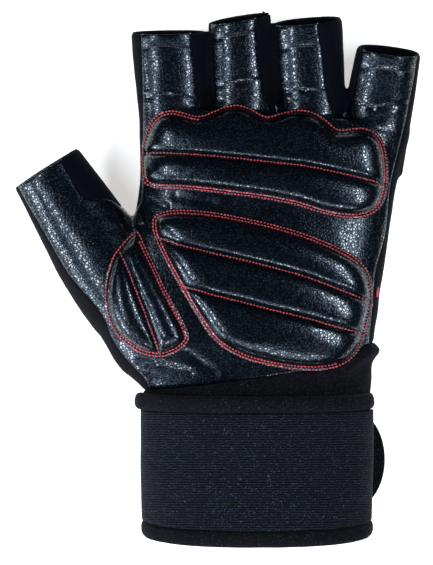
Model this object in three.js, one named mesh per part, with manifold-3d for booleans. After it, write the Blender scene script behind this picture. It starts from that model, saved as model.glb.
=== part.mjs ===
// Fingerless weightlifting glove for a left hand, lying on its back with the palm up.
// Millimetres. +X runs across the palm to the little finger, +Y along the fingers and +Z up
// out of the palm. Every piece of leather or cloth is a closed wall around the hollow for the hand.
import * as THREE from "three";
import { mergeVertices } from "three/addons/utils/BufferGeometryUtils.js";
import Module from "manifold-3d";

const wasm = await Module();
wasm.setup();

// Clearances and walls
const SEAM_GAP = 0.3;
const LEATHER_WALL = 1.6;
const HEM_EXTRA = 0.8;
const HEM_DEPTH = 6;
const CUFF_WALL = 2;
const BAND_WALL = 3;

// Wrist: an elastic band with a bound edge above and below, over a soft cuff
const WRIST_WIDTH = 92;
const WRIST_DEPTH = 38;
const BAND_LENGTH = 48.4;
const BAND_TAPER = 0.8;
const BINDING_HEIGHT = 6.4;
const TOP_BINDING_PROUD = 1.6;
const TOP_BINDING_SHIFT = 1;
const BOTTOM_BINDING_PROUD = 0.2;
const BAND_DROOP_ARM = 5;
const BAND_DROOP_HAND = 1.6;
const BINDING_FOLD = 1.6;
const CUFF_SLANT = 17.2;
const CUFF_ROLL = 1.5;
const CUFF_PROUD = 0.5;
const CUFF_SETBACK = 1.5;

// Closure tab: the round end of the wrap, lying under the band
const TAB_THICKNESS = 2.2;
const TAB_HALF_HEIGHT = 19;
const TAB_LENGTH = 86;
const TAB_END_DEPTH = 12;
const TAB_REACH = 5.4;
const TAB_CENTRE_SHARE = 0.58;

// Hand
const PALM_WIDTH = 108.8;
const PALM_LENGTH = 114.7;
const PALM_DEPTH = 36;
const PALM_SQUARENESS = 2.8;
const STALL_SQUARENESS = 2.5;
const BODY_SIDES = 32;
const STALL_SIDES = 20;
const BODY_STATIONS = 18;
const FACET_TOLERANCE = 0.055;

// Places along Y, from the lower edge of the wrist band
const BAND_START = BINDING_HEIGHT + SEAM_GAP;
const BAND_END = BAND_START + BAND_LENGTH;
const WRIST_LINE = BAND_END + SEAM_GAP + BINDING_HEIGHT;
const KNUCKLE_LINE = WRIST_LINE + PALM_LENGTH;
const BAND_FLOOR = TAB_THICKNESS + SEAM_GAP;
const BAND_CREST = BAND_FLOOR + WRIST_DEPTH;

// Sections of the palm. at is a share of PALM_LENGTH from the wrist, left and right are shares of
// PALM_WIDTH from the centre line, low and high are shares of PALM_DEPTH, and slant is how much
// further the right side lies along Y, as a share of CUFF_SLANT. The seams between leather and
// back cloth lie at seamRight and seamLeft, in degrees round the section from its right side.
const PALM_SECTIONS = [
  { at: 0.017, left: -0.423, right: 0.43, low: -0.04, high: 0.93, slant: 1.0, seamRight: 20, seamLeft: 148 },
  { at: 0.08, left: -0.5, right: 0.432, low: -0.04, high: 0.96, slant: 0.8, seamRight: 20, seamLeft: 146 },
  { at: 0.15, left: -0.548, right: 0.437, low: -0.04, high: 1.0, slant: 0.59, seamRight: 20, seamLeft: 152 },
  { at: 0.22, left: -0.585, right: 0.445, low: -0.04, high: 1.0, slant: 0.4, seamRight: 20, seamLeft: 155 },
  { at: 0.323, left: -0.585, right: 0.452, low: -0.04, high: 1.0, slant: 0.15, seamRight: 20, seamLeft: 165 },
  { at: 0.428, left: -0.548, right: 0.467, low: -0.04, high: 0.98, slant: 0.0, seamRight: 20, seamLeft: 170 },
  { at: 0.533, left: -0.496, right: 0.482, low: -0.04, high: 0.95, slant: 0.0, seamRight: 20, seamLeft: 170 },
  { at: 0.62, left: -0.452, right: 0.496, low: -0.04, high: 0.92, slant: 0.0, seamRight: 20, seamLeft: 170 },
  { at: 0.707, left: -0.434, right: 0.511, low: -0.04, high: 0.89, slant: 0.0, seamRight: 20, seamLeft: 168 },
  { at: 0.812, left: -0.43, right: 0.537, low: -0.04, high: 0.85, slant: 0.0, seamRight: 19, seamLeft: 166 },
  { at: 0.916, left: -0.434, right: 0.5625, low: -0.02, high: 0.8, slant: -0.12, seamRight: 18, seamLeft: 160 },
  { at: 1.0, left: -0.43, right: 0.56, low: 0.03, high: 0.74, slant: -0.4, seamRight: 20, seamLeft: 150 },
];

// Finger stalls. x is a share of PALM_WIDTH, and y a share of PALM_LENGTH past the knuckle line.
// Widths are shares of PALM_WIDTH, depths of PALM_DEPTH and lengths of PALM_LENGTH. lean, tilt and
// skew are degrees: the lean to the little finger's side, the rise of the opening towards the palm
// and the turn of its rim. seams are degrees round the stall, from its right side to its left.
const FINGERS = [
  { name: "index", x: -0.307, y: 0, width: 0.261, tip: 0.276, depth: 0.583, length: 0.258, lean: -3.8, tilt: 12, skew: -3, seams: [53, 141] },
  { name: "middle", x: -0.053, y: 0, width: 0.243, tip: 0.234, depth: 0.583, length: 0.305, lean: -2, tilt: 12, skew: 7, seams: [56, 151] },
  { name: "ring", x: 0.2, y: 0, width: 0.25, tip: 0.255, depth: 0.583, length: 0.296, lean: -2.7, tilt: 14, skew: 2.3, seams: [70, 160] },
  { name: "little", x: 0.445, y: -0.038, width: 0.247, tip: 0.237, depth: 0.556, length: 0.234, lean: 9, tilt: 20, skew: 2, seams: [33, 149] },
];
const FINGER_CENTRE_HEIGHT = 0.417 * PALM_DEPTH;
const FINGER_MID_FULLNESS = 1.02;
const STALL_OVERLAP = 0.19 * PALM_LENGTH;

// Thumb stall. Its tip is placed by shares of PALM_WIDTH and PALM_LENGTH, and it runs back into
// the ball of the thumb. at is a share of THUMB_LENGTH from the tip, half a share of THUMB_WIDTH,
// low and high shares of PALM_DEPTH.
const THUMB_TIP = { x: -0.776, y: 0.785 };
const THUMB_LEAN = 32;
const THUMB_LENGTH = 0.663 * PALM_LENGTH;
const THUMB_WIDTH = 0.276 * PALM_WIDTH;
const THUMB_SEAM_RIGHT = 8;
const THUMB_SEAM_LEFT = 140;
const THUMB_SECTIONS = [
  { at: 0.0, half: 0.5, low: 0.1, high: 0.76 },
  { at: 0.14, half: 0.53, low: 0.09, high: 0.78 },
  { at: 0.33, half: 0.575, low: 0.07, high: 0.82 },
  { at: 0.5, half: 0.62, low: 0.03, high: 0.88 },
  { at: 0.68, half: 0.625, low: -0.03, high: 0.93 },
  { at: 0.86, half: 0.6, low: -0.03, high: 0.96 },
  { at: 1.0, half: 0.52, low: 0.04, high: 0.93 },
];
const GUSSET_LENGTH = 18;
const GUSSET_SEAM = 58;

// Pads. Each is a row of sections, run across the palm or down it. at is where the section lies
// and the other columns are where the stitched outline and the quilting grooves cross it. Across
// the palm is a share of PALM_WIDTH from the centre line, along it a share of PALM_LENGTH from
// the wrist.
const PAD_RIM = 1.4;
const PAD_RIM_REACH = 1;
const PAD_FOOT_INSET = 1.7;
const PAD_CROWN_REACH = 8;
const PAD_BURIED = 3;
const PAD_STATIONS = 26;
const GROOVE_SHARE = 0.35;
const LOBE_SHARES = [0.12, 0.5, 0.88];
const PADS = [
  {
    name: "upper_pad",
    runs: "across",
    height: 5,
    rows: [
      { at: -0.42, upper: 0.815, groove: 0.812, lower: 0.79 },
      { at: -0.4, upper: 0.91, groove: 0.834, lower: 0.727 },
      { at: -0.36, upper: 0.97, groove: 0.834, lower: 0.717 },
      { at: -0.31, upper: 0.981, groove: 0.833, lower: 0.715 },
      { at: -0.265, upper: 0.971, groove: 0.831, lower: 0.713 },
      { at: -0.215, upper: 0.961, groove: 0.829, lower: 0.708 },
      { at: -0.15, upper: 0.983, groove: 0.824, lower: 0.702 },
      { at: -0.07, upper: 1.003, groove: 0.817, lower: 0.692 },
      { at: -0.01, upper: 0.98, groove: 0.811, lower: 0.684 },
      { at: 0.037, upper: 0.96, groove: 0.805, lower: 0.677 },
      { at: 0.09, upper: 0.973, groove: 0.799, lower: 0.667 },
      { at: 0.155, upper: 0.984, groove: 0.793, lower: 0.657 },
      { at: 0.225, upper: 0.965, groove: 0.782, lower: 0.637 },
      { at: 0.29, upper: 0.917, groove: 0.768, lower: 0.618 },
      { at: 0.34, upper: 0.919, groove: 0.758, lower: 0.613 },
      { at: 0.39, upper: 0.923, groove: 0.747, lower: 0.614 },
      { at: 0.43, upper: 0.905, groove: 0.738, lower: 0.63 },
      { at: 0.46, upper: 0.872, groove: 0.732, lower: 0.665 },
      { at: 0.476, upper: 0.79, groove: 0.728, lower: 0.72 },
    ],
  },
  {
    name: "heel_pad",
    runs: "across",
    height: 5.2,
    rows: [
      { at: -0.382, upper: 0.604, grooveUpper: 0.595, grooveLower: 0.592, lower: 0.588 },
      { at: -0.365, upper: 0.622, grooveUpper: 0.54, grooveLower: 0.538, lower: 0.53 },
      { at: -0.33, upper: 0.631, grooveUpper: 0.53, grooveLower: 0.47, lower: 0.46 },
      { at: -0.29, upper: 0.635, grooveUpper: 0.516, grooveLower: 0.4, lower: 0.385 },
      { at: -0.24, upper: 0.636, grooveUpper: 0.503, grooveLower: 0.367, lower: 0.307 },
      { at: -0.19, upper: 0.632, grooveUpper: 0.493, grooveLower: 0.352, lower: 0.233 },
      { at: -0.14, upper: 0.624, grooveUpper: 0.479, grooveLower: 0.337, lower: 0.171 },
      { at: -0.07, upper: 0.611, grooveUpper: 0.462, grooveLower: 0.318, lower: 0.132 },
      { at: 0.0, upper: 0.597, grooveUpper: 0.443, grooveLower: 0.304, lower: 0.111 },
      { at: 0.08, upper: 0.578, grooveUpper: 0.425, grooveLower: 0.284, lower: 0.093 },
      { at: 0.16, upper: 0.557, grooveUpper: 0.407, grooveLower: 0.266, lower: 0.084 },
      { at: 0.24, upper: 0.529, grooveUpper: 0.387, grooveLower: 0.244, lower: 0.082 },
      { at: 0.31, upper: 0.498, grooveUpper: 0.359, grooveLower: 0.227, lower: 0.099 },
      { at: 0.36, upper: 0.468, grooveUpper: 0.338, grooveLower: 0.216, lower: 0.135 },
      { at: 0.39, upper: 0.439, grooveUpper: 0.327, grooveLower: 0.211, lower: 0.19 },
      { at: 0.41, upper: 0.405, grooveUpper: 0.32, grooveLower: 0.27, lower: 0.262 },
      { at: 0.418, upper: 0.345, grooveUpper: 0.335, grooveLower: 0.332, lower: 0.33 },
    ],
  },
  {
    name: "thumb_pad",
    runs: "down",
    height: 4.6,
    rows: [
      { at: 0.13, upper: -0.35, groove: -0.36, lower: -0.378 },
      { at: 0.145, upper: -0.305, groove: -0.36, lower: -0.43 },
      { at: 0.17, upper: -0.267, groove: -0.363, lower: -0.474 },
      { at: 0.2, upper: -0.254, groove: -0.378, lower: -0.507 },
      { at: 0.235, upper: -0.268, groove: -0.392, lower: -0.529 },
      { at: 0.275, upper: -0.291, groove: -0.41, lower: -0.547 },
      { at: 0.32, upper: -0.316, groove: -0.43, lower: -0.555 },
      { at: 0.36, upper: -0.338, groove: -0.446, lower: -0.555 },
      { at: 0.4, upper: -0.358, groove: -0.462, lower: -0.548 },
      { at: 0.44, upper: -0.377, groove: -0.48, lower: -0.537 },
      { at: 0.48, upper: -0.397, groove: -0.51, lower: -0.523 },
      { at: 0.51, upper: -0.412, groove: -0.49, lower: -0.5 },
      { at: 0.54, upper: -0.425, groove: -0.462, lower: -0.47 },
      { at: 0.563, upper: -0.437, groove: -0.439, lower: -0.441 },
    ],
  },
];

const radians = (degrees) => THREE.MathUtils.degToRad(degrees);

// All columns of a table at one place, on a smooth curve through its rows.
function sample(rows, at) {
  const last = rows.length - 1;
  const i = Math.min(last - 1, Math.max(0, rows.findIndex((row) => row.at > at) - 1));
  const k = at >= rows[last].at ? last - 1 : i;
  const [before, from, to, after] = [rows[Math.max(0, k - 1)], rows[k], rows[k + 1], rows[Math.min(last, k + 2)]];
  const span = to.at - from.at;
  const t = (at - from.at) / span;
  const found = {};
  for (const key of Object.keys(from)) {
    const slopeFrom = ((to[key] - before[key]) / (to.at - before.at)) * span;
    const slopeTo = ((after[key] - from[key]) / (after.at - from.at)) * span;
    found[key] =
      (2 * t ** 3 - 3 * t ** 2 + 1) * from[key] +
      (t ** 3 - 2 * t ** 2 + t) * slopeFrom +
      (3 * t ** 2 - 2 * t ** 3) * to[key] +
      (t ** 3 - t ** 2) * slopeTo;
  }
  return { ...found, at };
}

const signedPower = (value, power) => Math.sign(value) * Math.abs(value) ** power;

// A point of a frame's superellipse, at an angle from its right side. Nothing goes below the floor.
function rimPoint(frame, degrees, inset) {
  const power = 2 / frame.squareness;
  const along = (frame.halfWidth - inset) * signedPower(Math.cos(radians(degrees)), power);
  const rise = (frame.halfDepth - inset) * signedPower(Math.sin(radians(degrees)), power);
  const point = frame.centre.clone().addScaledVector(frame.across, along).addScaledVector(frame.up, rise);
  point.z = Math.max(point.z, frame.floor + inset);
  return point;
}

function ring(frame, inset, sides) {
  return Array.from({ length: sides }, (_, k) => rimPoint(frame, (360 * k) / sides, inset));
}

// A closed geometry from rings of equally many points, each run right, up, left, down.
function loft(rings) {
  const count = rings[0].length;
  const positions = [];
  const middle = (points) => points.reduce((sum, p) => sum.add(p), new THREE.Vector3()).divideScalar(count);
  const add = (...corners) => corners.forEach((p) => positions.push(p.x, p.y, p.z));
  for (let i = 0; i + 1 < rings.length; i++) {
    for (let k = 0; k < count; k++) {
      const next = (k + 1) % count;
      add(rings[i][k], rings[i + 1][next], rings[i][next]);
      add(rings[i][k], rings[i + 1][k], rings[i + 1][next]);
    }
  }
  const first = middle(rings[0]);
  const last = middle(rings.at(-1));
  for (let k = 0; k < count; k++) {
    const next = (k + 1) % count;
    add(first, rings[0][k], rings[0][next]);
    add(last, rings.at(-1)[next], rings.at(-1)[k]);
  }
  return new THREE.BufferGeometry().setAttribute("position", new THREE.Float32BufferAttribute(positions, 3));
}

function solid(geometry) {
  const bare = geometry.index ? geometry.toNonIndexed() : geometry.clone();
  bare.deleteAttribute("normal");
  bare.deleteAttribute("uv");
  const merged = mergeVertices(bare, 1e-3);
  const made = new wasm.Manifold(
    new wasm.Mesh({
      numProp: 3,
      vertProperties: merged.attributes.position.array,
      triVerts: new Uint32Array(merged.index.array),
    }),
  );
  if (made.volume() <= 0) throw new Error("a loft is inside out");
  return made;
}

function geometryOf(manifold) {
  const mesh = manifold.getMesh();
  return new THREE.BufferGeometry()
    .setAttribute("position", new THREE.BufferAttribute(new Float32Array(mesh.vertProperties), 3))
    .setIndex(new THREE.BufferAttribute(new Uint32Array(mesh.triVerts), 1));
}

const joined = (solids) => solids.reduce((sum, next) => sum.add(next));

// Frames of the palm, from the wrist to the knuckles
function palmFrame(at) {
  const row = sample(PALM_SECTIONS, at);
  const left = row.left * PALM_WIDTH;
  const right = row.right * PALM_WIDTH;
  const rise = row.slant * CUFF_SLANT;
  return {
    centre: new THREE.Vector3(
      (left + right) / 2,
      WRIST_LINE + at * PALM_LENGTH + rise / 2,
      ((row.low + row.high) * PALM_DEPTH) / 2,
    ),
    across: new THREE.Vector3(1, rise / (right - left), 0),
    up: new THREE.Vector3(0, 0, 1),
    halfWidth: (right - left) / 2,
    halfDepth: ((row.high - row.low) * PALM_DEPTH) / 2,
    squareness: PALM_SQUARENESS,
    floor: 0,
    seamRight: row.seamRight,
    seamLeft: row.seamLeft,
  };
}

const PALM_FROM = PALM_SECTIONS[0].at;
const palmStations = Array.from(
  { length: BODY_STATIONS },
  (_, i) => PALM_FROM + ((1 - PALM_FROM) * i) / (BODY_STATIONS - 1),
);

// Frame of a finger stall at a distance from its root
function fingerFrame(finger, distance) {
  const length = finger.length * PALM_LENGTH;
  const t = distance / length;
  const grown = Math.min(1, Math.max(0, t));
  const lean = radians(finger.lean);
  const tilt = radians(finger.tilt) * (0.5 + 0.5 * t);
  const turn = radians(-finger.lean + finger.skew * grown);
  const climb = radians(finger.tilt) * (0.5 * t + 0.25 * t * t) * length;
  const forward = new THREE.Vector3(Math.sin(lean), Math.cos(lean), 0);
  const across = new THREE.Vector3(Math.cos(turn), Math.sin(turn), 0);
  const up = new THREE.Vector3(0, 0, Math.cos(tilt)).addScaledVector(forward, -Math.sin(tilt));
  const swell = 1 + (FINGER_MID_FULLNESS - 1) * Math.sin(Math.PI * grown);
  const width = THREE.MathUtils.lerp(finger.width, finger.tip, grown) * swell * PALM_WIDTH;
  return {
    centre: new THREE.Vector3(
      finger.x * PALM_WIDTH,
      KNUCKLE_LINE + finger.y * PALM_LENGTH,
      FINGER_CENTRE_HEIGHT + climb,
    ).addScaledVector(forward, distance),
    across,
    up,
    halfWidth: width / 2,
    halfDepth: (finger.depth * PALM_DEPTH) / 2,
    squareness: STALL_SQUARENESS,
    floor: 0,
    seamRight: finger.seams[0],
    seamLeft: finger.seams[1],
  };
}

// Frame of the thumb stall at a distance back from its tip
function thumbFrame(distance) {
  const row = sample(THUMB_SECTIONS, distance / THUMB_LENGTH);
  const lean = radians(THUMB_LEAN);
  const backward = new THREE.Vector3(Math.sin(lean), -Math.cos(lean), 0);
  return {
    centre: new THREE.Vector3(
      THUMB_TIP.x * PALM_WIDTH,
      WRIST_LINE + THUMB_TIP.y * PALM_LENGTH,
      ((row.low + row.high) * PALM_DEPTH) / 2,
    ).addScaledVector(backward, distance),
    across: new THREE.Vector3(Math.cos(lean), Math.sin(lean), 0),
    up: new THREE.Vector3(0, 0, 1),
    halfWidth: row.half * THUMB_WIDTH,
    halfDepth: ((row.high - row.low) * PALM_DEPTH) / 2,
    squareness: STALL_SQUARENESS,
    floor: 0,
    seamRight: THUMB_SEAM_RIGHT,
    seamLeft: THUMB_SEAM_LEFT,
  };
}

const steps = (from, to, count) => Array.from({ length: count }, (_, i) => from + ((to - from) * i) / (count - 1));

// The form of the hand, grown or shrunk by an inset. The hollow goes on past every opening.
function body(inset, hollow = false) {
  const past = hollow ? 4 : 0;
  const palmRings = palmStations.map((at) => ring(palmFrame(at), inset, BODY_SIDES));
  if (hollow) {
    const below = palmRings[0].map((p) => p.clone().setY(p.y - past));
    palmRings.unshift(below);
    palmRings.at(-1).forEach((p) => p.setY(p.y - LEATHER_WALL));
  }
  const stalls = FINGERS.map((finger) => {
    const tip = finger.length * PALM_LENGTH;
    const hem = tip - HEM_DEPTH;
    const places = steps(-STALL_OVERLAP, hem, 5).map((distance) => [distance, inset]);
    const hemInset = hollow ? inset + HEM_EXTRA : inset;
    places.push([hem + HEM_EXTRA, hemInset], [tip + past, hemInset]);
    return loft(places.map(([distance, by]) => ring(fingerFrame(finger, distance), by, STALL_SIDES)));
  });
  const hemInset = hollow ? inset + HEM_EXTRA : inset;
  const thumbPlaces = steps(THUMB_LENGTH - (hollow ? LEATHER_WALL : 0), HEM_DEPTH, 7).map((d) => [d, inset]);
  thumbPlaces.push([HEM_DEPTH - HEM_EXTRA, hemInset], [-past, hemInset]);
  const thumb = loft(thumbPlaces.map(([distance, by]) => ring(thumbFrame(distance), by, STALL_SIDES)));
  return joined([loft(palmRings), ...stalls, thumb].map(solid));
}

// A wedge of a tube: from its middle line out past its wall, between two angles.
function wedge(frames, fromAngle, toAngle, drop = 0) {
  const ARC_POINTS = 9;
  return solid(
    loft(
      frames.map((frame) => {
        const from = typeof fromAngle === "function" ? fromAngle(frame) : fromAngle;
        const to = typeof toAngle === "function" ? toAngle(frame) : toAngle;
        const arc = steps(from, to, ARC_POINTS).map((angle) => rimPoint(frame, angle, -SEAM_GAP - drop));
        return [frame.centre.clone().addScaledVector(frame.up, -drop), ...arc];
      }),
    ),
  );
}

const REACH = 1;
const stallFrames = (finger, from) =>
  steps(from, finger.length * PALM_LENGTH + REACH, 6).map((distance) => fingerFrame(finger, distance));
const thumbFrames = (from, to, count) => steps(from, to, count).map(thumbFrame);

// Everything the palm leather covers: the front of the palm, of the fingers and of the thumb.
function leatherSide(gap) {
  const turned = (frame) => THREE.MathUtils.radToDeg(gap / frame.halfDepth);
  const from = (frame) => frame.seamRight - turned(frame);
  const to = (frame) => frame.seamLeft + turned(frame);
  const palm = wedge(palmStations.map(palmFrame), from, to, gap);
  const tips = FINGERS.map((finger) => wedge(stallFrames(finger, -STALL_OVERLAP / 2), from, to, gap));
  const thumb = wedge(thumbFrames(THUMB_LENGTH, GUSSET_LENGTH - gap, 6), from, to, gap);
  const thumbTop = (frame) => GUSSET_SEAM - turned(frame);
  const thumbTip = wedge(thumbFrames(GUSSET_LENGTH + REACH, -REACH, 3), thumbTop, to, gap);
  return joined([palm, ...tips, thumb, thumbTip]);
}

// What a fourchette covers: the facing sides of two fingers and the web between them.
function fourchetteSide(one, other, gap) {
  const turned = (frame) => THREE.MathUtils.radToDeg(gap / frame.halfDepth);
  const UNDER = 38;
  const right = wedge(
    stallFrames(one, 0),
    (frame) => -UNDER - turned(frame),
    (frame) => frame.seamRight + turned(frame),
  );
  const left = wedge(
    stallFrames(other, 0),
    (frame) => frame.seamLeft - turned(frame),
    (frame) => 180 + UNDER + turned(frame),
  );
  const from = fingerFrame(one, 0);
  const to = fingerFrame(other, 0);
  const WEB_DEPTH = 13.6;
  const WEB_BACK = 4.6;
  const top = Math.max(from.centre.y, to.centre.y) + REACH;
  const bottom = Math.min(from.centre.y, to.centre.y) - WEB_BACK - gap;
  const wide = to.centre.x - from.centre.x + 2 * gap;
  const web = new THREE.BoxGeometry(wide, top - bottom, WEB_DEPTH + 2 * gap);
  web.translate((from.centre.x + to.centre.x) / 2, (top + bottom) / 2, FINGER_CENTRE_HEIGHT - 1);
  return joined([right, left, solid(web)]);
}

function gussetSide(gap) {
  const UNDER = 30;
  const turned = (frame) => THREE.MathUtils.radToDeg(gap / frame.halfDepth);
  return wedge(
    thumbFrames(GUSSET_LENGTH + gap, -REACH, 3),
    (frame) => -UNDER - turned(frame),
    (frame) => GUSSET_SEAM + turned(frame),
  );
}

const outer = body(0);
const grown = body(-SEAM_GAP);
const shell = outer.subtract(body(LEATHER_WALL, true));

const leatherPiece = shell.intersect(leatherSide(0));
const behind = shell.subtract(leatherSide(SEAM_GAP));
const pairs = [0, 1, 2].map((i) => [FINGERS[i], FINGERS[i + 1]]);
const fourchettes = pairs.map(([one, other]) => ({
  name: `fourchette_${one.name}_${other.name}`,
  solid: behind.intersect(fourchetteSide(one, other, 0)),
}));
const gusset = behind.intersect(gussetSide(0));
const backPiece = [...pairs.map(([one, other]) => fourchetteSide(one, other, SEAM_GAP)), gussetSide(SEAM_GAP)].reduce(
  (rest, side) => rest.subtract(side),
  behind,
);

// The largest body of a cut, without the crumbs and slivers that a cut may leave.
const largest = (cut) =>
  cut
    .asOriginal()
    .simplify(FACET_TOLERANCE)
    .decompose()
    .sort((a, b) => b.volume() - a.volume())[0];

// Height and steepness of the leather under a point
const skin = new THREE.Mesh(geometryOf(outer), new THREE.MeshBasicMaterial());
const ray = new THREE.Raycaster();
function skinAt(x, y) {
  for (let further = 0; further < PALM_LENGTH; further++) {
    ray.set(new THREE.Vector3(x, y + further, 2 * PALM_DEPTH), new THREE.Vector3(0, 0, -1));
    const [hit] = ray.intersectObject(skin);
    if (hit) return { z: hit.point.z, steep: Math.max(0.5, hit.face.normal.z) };
  }
  throw new Error("a pad lies beside the palm");
}

// A solid between a grid of points and the same grid lowered, both run so that the top faces up.
function slab(top, bottom) {
  const [rows, columns] = [top.length, top[0].length];
  const positions = [];
  const quad = (a, b, c, d) => {
    for (const [p, q, r] of [[a, b, c], [a, c, d]]) {
      if (p.distanceTo(q) < 1e-3 || q.distanceTo(r) < 1e-3 || r.distanceTo(p) < 1e-3) continue;
      for (const corner of [p, q, r]) positions.push(corner.x, corner.y, corner.z);
    }
  };
  for (let i = 0; i + 1 < rows; i++) {
    for (let j = 0; j + 1 < columns; j++) {
      quad(top[i][j], top[i + 1][j], top[i + 1][j + 1], top[i][j + 1]);
      quad(bottom[i][j], bottom[i][j + 1], bottom[i + 1][j + 1], bottom[i + 1][j]);
    }
    quad(bottom[i][0], bottom[i + 1][0], top[i + 1][0], top[i][0]);
    quad(top[i].at(-1), top[i + 1].at(-1), bottom[i + 1].at(-1), bottom[i].at(-1));
  }
  for (let j = 0; j + 1 < columns; j++) {
    quad(bottom[0][j + 1], bottom[0][j], top[0][j], top[0][j + 1]);
    quad(top[rows - 1][j + 1], top[rows - 1][j], bottom[rows - 1][j], bottom[rows - 1][j + 1]);
  }
  return new THREE.BufferGeometry().setAttribute("position", new THREE.Float32BufferAttribute(positions, 3));
}

// A quilted pad: a flat stitched rim, and cushions that rise inside it between the grooves.
function pad({ runs, height, rows }) {
  const across = runs === "across";
  const place = (at, value) =>
    across
      ? new THREE.Vector2(at * PALM_WIDTH, WRIST_LINE + value * PALM_LENGTH)
      : new THREE.Vector2(value * PALM_WIDTH, WRIST_LINE + at * PALM_LENGTH);
  const from = rows[0].at;
  const to = rows.at(-1).at;
  const spread = steps(0, 1, PAD_STATIONS).map((t) => from + ((to - from) * (1 - Math.cos(Math.PI * t))) / 2);
  const columns = Object.keys(rows[0]).filter((key) => key !== "at").reverse();
  const lines = columns.map((column) => spread.map((at) => place(at, sample(rows, at)[column])));
  const outline = [...lines[0], ...[...lines.at(-1)].reverse()];
  const centre = outline.reduce((sum, p) => sum.add(p), new THREE.Vector2()).divideScalar(outline.length);

  function distanceTo(path, p) {
    let nearest = Infinity;
    for (let i = 0; i + 1 < path.length; i++) {
      const span = path[i + 1].clone().sub(path[i]);
      const t = THREE.MathUtils.clamp(p.clone().sub(path[i]).dot(span) / Math.max(span.lengthSq(), 1e-9), 0, 1);
      nearest = Math.min(nearest, p.distanceTo(path[i].clone().addScaledVector(span, t)));
    }
    return nearest;
  }
  const swell = (distance) => {
    const t = THREE.MathUtils.clamp(distance / PAD_CROWN_REACH, 0, 1);
    return Math.sqrt(1 - (1 - t) ** 2.4);
  };
  const lift = (p) => {
    const rim = swell(distanceTo([...outline, outline[0]], p) - PAD_FOOT_INSET);
    const groove = Math.min(...lines.slice(1, -1).map((path) => distanceTo(path, p)));
    return PAD_RIM + (height - PAD_RIM) * rim * (GROOVE_SHARE + (1 - GROOVE_SHARE) * swell(groove));
  };

  const grid = spread.map((at, i) => {
    const ends = [lines[0][i], lines.at(-1)[i]];
    const marks = lines.map((line) => line[i]);
    const inset = Math.min(PAD_FOOT_INSET, ends[0].distanceTo(ends[1]) / 4);
    const way = ends[1].clone().sub(ends[0]).normalize();
    marks[0] = ends[0].clone().addScaledVector(way, inset);
    marks[marks.length - 1] = ends[1].clone().addScaledVector(way, -inset);
    const outwards = ends.map((end, k) => end.clone().addScaledVector(way, k ? PAD_RIM_REACH : -PAD_RIM_REACH));
    const points = [outwards[0], marks[0]];
    for (let lobe = 0; lobe + 1 < marks.length; lobe++) {
      for (const share of LOBE_SHARES) points.push(marks[lobe].clone().lerp(marks[lobe + 1], share));
      points.push(marks[lobe + 1]);
    }
    return [...points, outwards[1]];
  });
  const raised = (p, amount) => {
    const { z, steep } = skinAt(p.x, p.y);
    return new THREE.Vector3(p.x, p.y, z + amount / steep);
  };
  const edge = (i, j) => j === 0 || j === grid[i].length - 1 || i === 0 || i === grid.length - 1;
  const top = grid.map((column, i) => column.map((p, j) => raised(p, edge(i, j) ? PAD_RIM : lift(p))));
  const bottom = grid.map((column) => column.map((p) => raised(p, -PAD_BURIED)));
  const ordered = across ? [top, bottom] : [top.toReversed(), bottom.toReversed()];
  return solid(slab(...ordered)).subtract(grown);
}

// Tubes about the wrist. Above its middle a tube reaches further towards the arm, by its droop.
function wristFrame({ centre, halfWidth, y, floor, crest, rise = 0 }) {
  return {
    centre: new THREE.Vector3(centre, y + rise / 2, (floor + crest) / 2),
    across: new THREE.Vector3(1, rise / (2 * halfWidth), 0),
    up: new THREE.Vector3(0, 0, 1),
    halfWidth,
    halfDepth: (crest - floor) / 2,
    squareness: PALM_SQUARENESS,
    floor,
  };
}

function drooped(frame, inset, droop) {
  return ring(frame, inset, BODY_SIDES).map((p) => {
    const height = THREE.MathUtils.clamp((p.z - frame.centre.z) / frame.halfDepth, 0, 1);
    return p.setY(p.y - droop * height);
  });
}

function tube(frames, wall, droops) {
  const skinOf = (inset) => solid(loft(frames.map((frame, i) => drooped(frame, inset, droops[i]))));
  const past = frames.map((frame, i) => {
    const moved = drooped(frame, wall, droops[i]);
    const shift = i === 0 ? -REACH : i === frames.length - 1 ? REACH : 0;
    return moved.map((p) => p.setY(p.y + shift));
  });
  return largest(skinOf(0).subtract(solid(loft(past))));
}

const bandFrame = (t, proud = 0, shift = 0) =>
  wristFrame({
    centre: shift,
    halfWidth: WRIST_WIDTH / 2 + proud + BAND_TAPER * (t - 0.5),
    y: THREE.MathUtils.lerp(BAND_START + BAND_DROOP_ARM, BAND_END, t),
    floor: BAND_FLOOR - Math.min(proud, BAND_FLOOR),
    crest: BAND_CREST + proud,
  });
const droopAt = (t) => THREE.MathUtils.lerp(BAND_DROOP_ARM, BAND_DROOP_HAND, t);
const band = tube(
  steps(0, 1, 5).map((t) => bandFrame(t)),
  BAND_WALL,
  steps(0, 1, 5).map(droopAt),
);

// A bound edge, from its open end to the band, rounded on the outside
function binding(t, proud, shift) {
  const away = t === 0 ? -1 : 1;
  const profile = [
    { out: BINDING_HEIGHT, proud: proud - BINDING_FOLD },
    { out: BINDING_HEIGHT - BINDING_FOLD / 2, proud: proud - BINDING_FOLD / 3 },
    { out: BINDING_HEIGHT / 2, proud },
    { out: 0, proud: proud - BINDING_FOLD / 2 },
  ];
  const frames = profile.map((row) => {
    const frame = bandFrame(t, row.proud, shift);
    frame.centre.y += away * (SEAM_GAP + row.out);
    return frame;
  });
  const ordered = t === 0 ? frames : frames.reverse();
  return tube(ordered, BAND_WALL + proud - BINDING_FOLD / 2, ordered.map(() => droopAt(t)));
}

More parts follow.
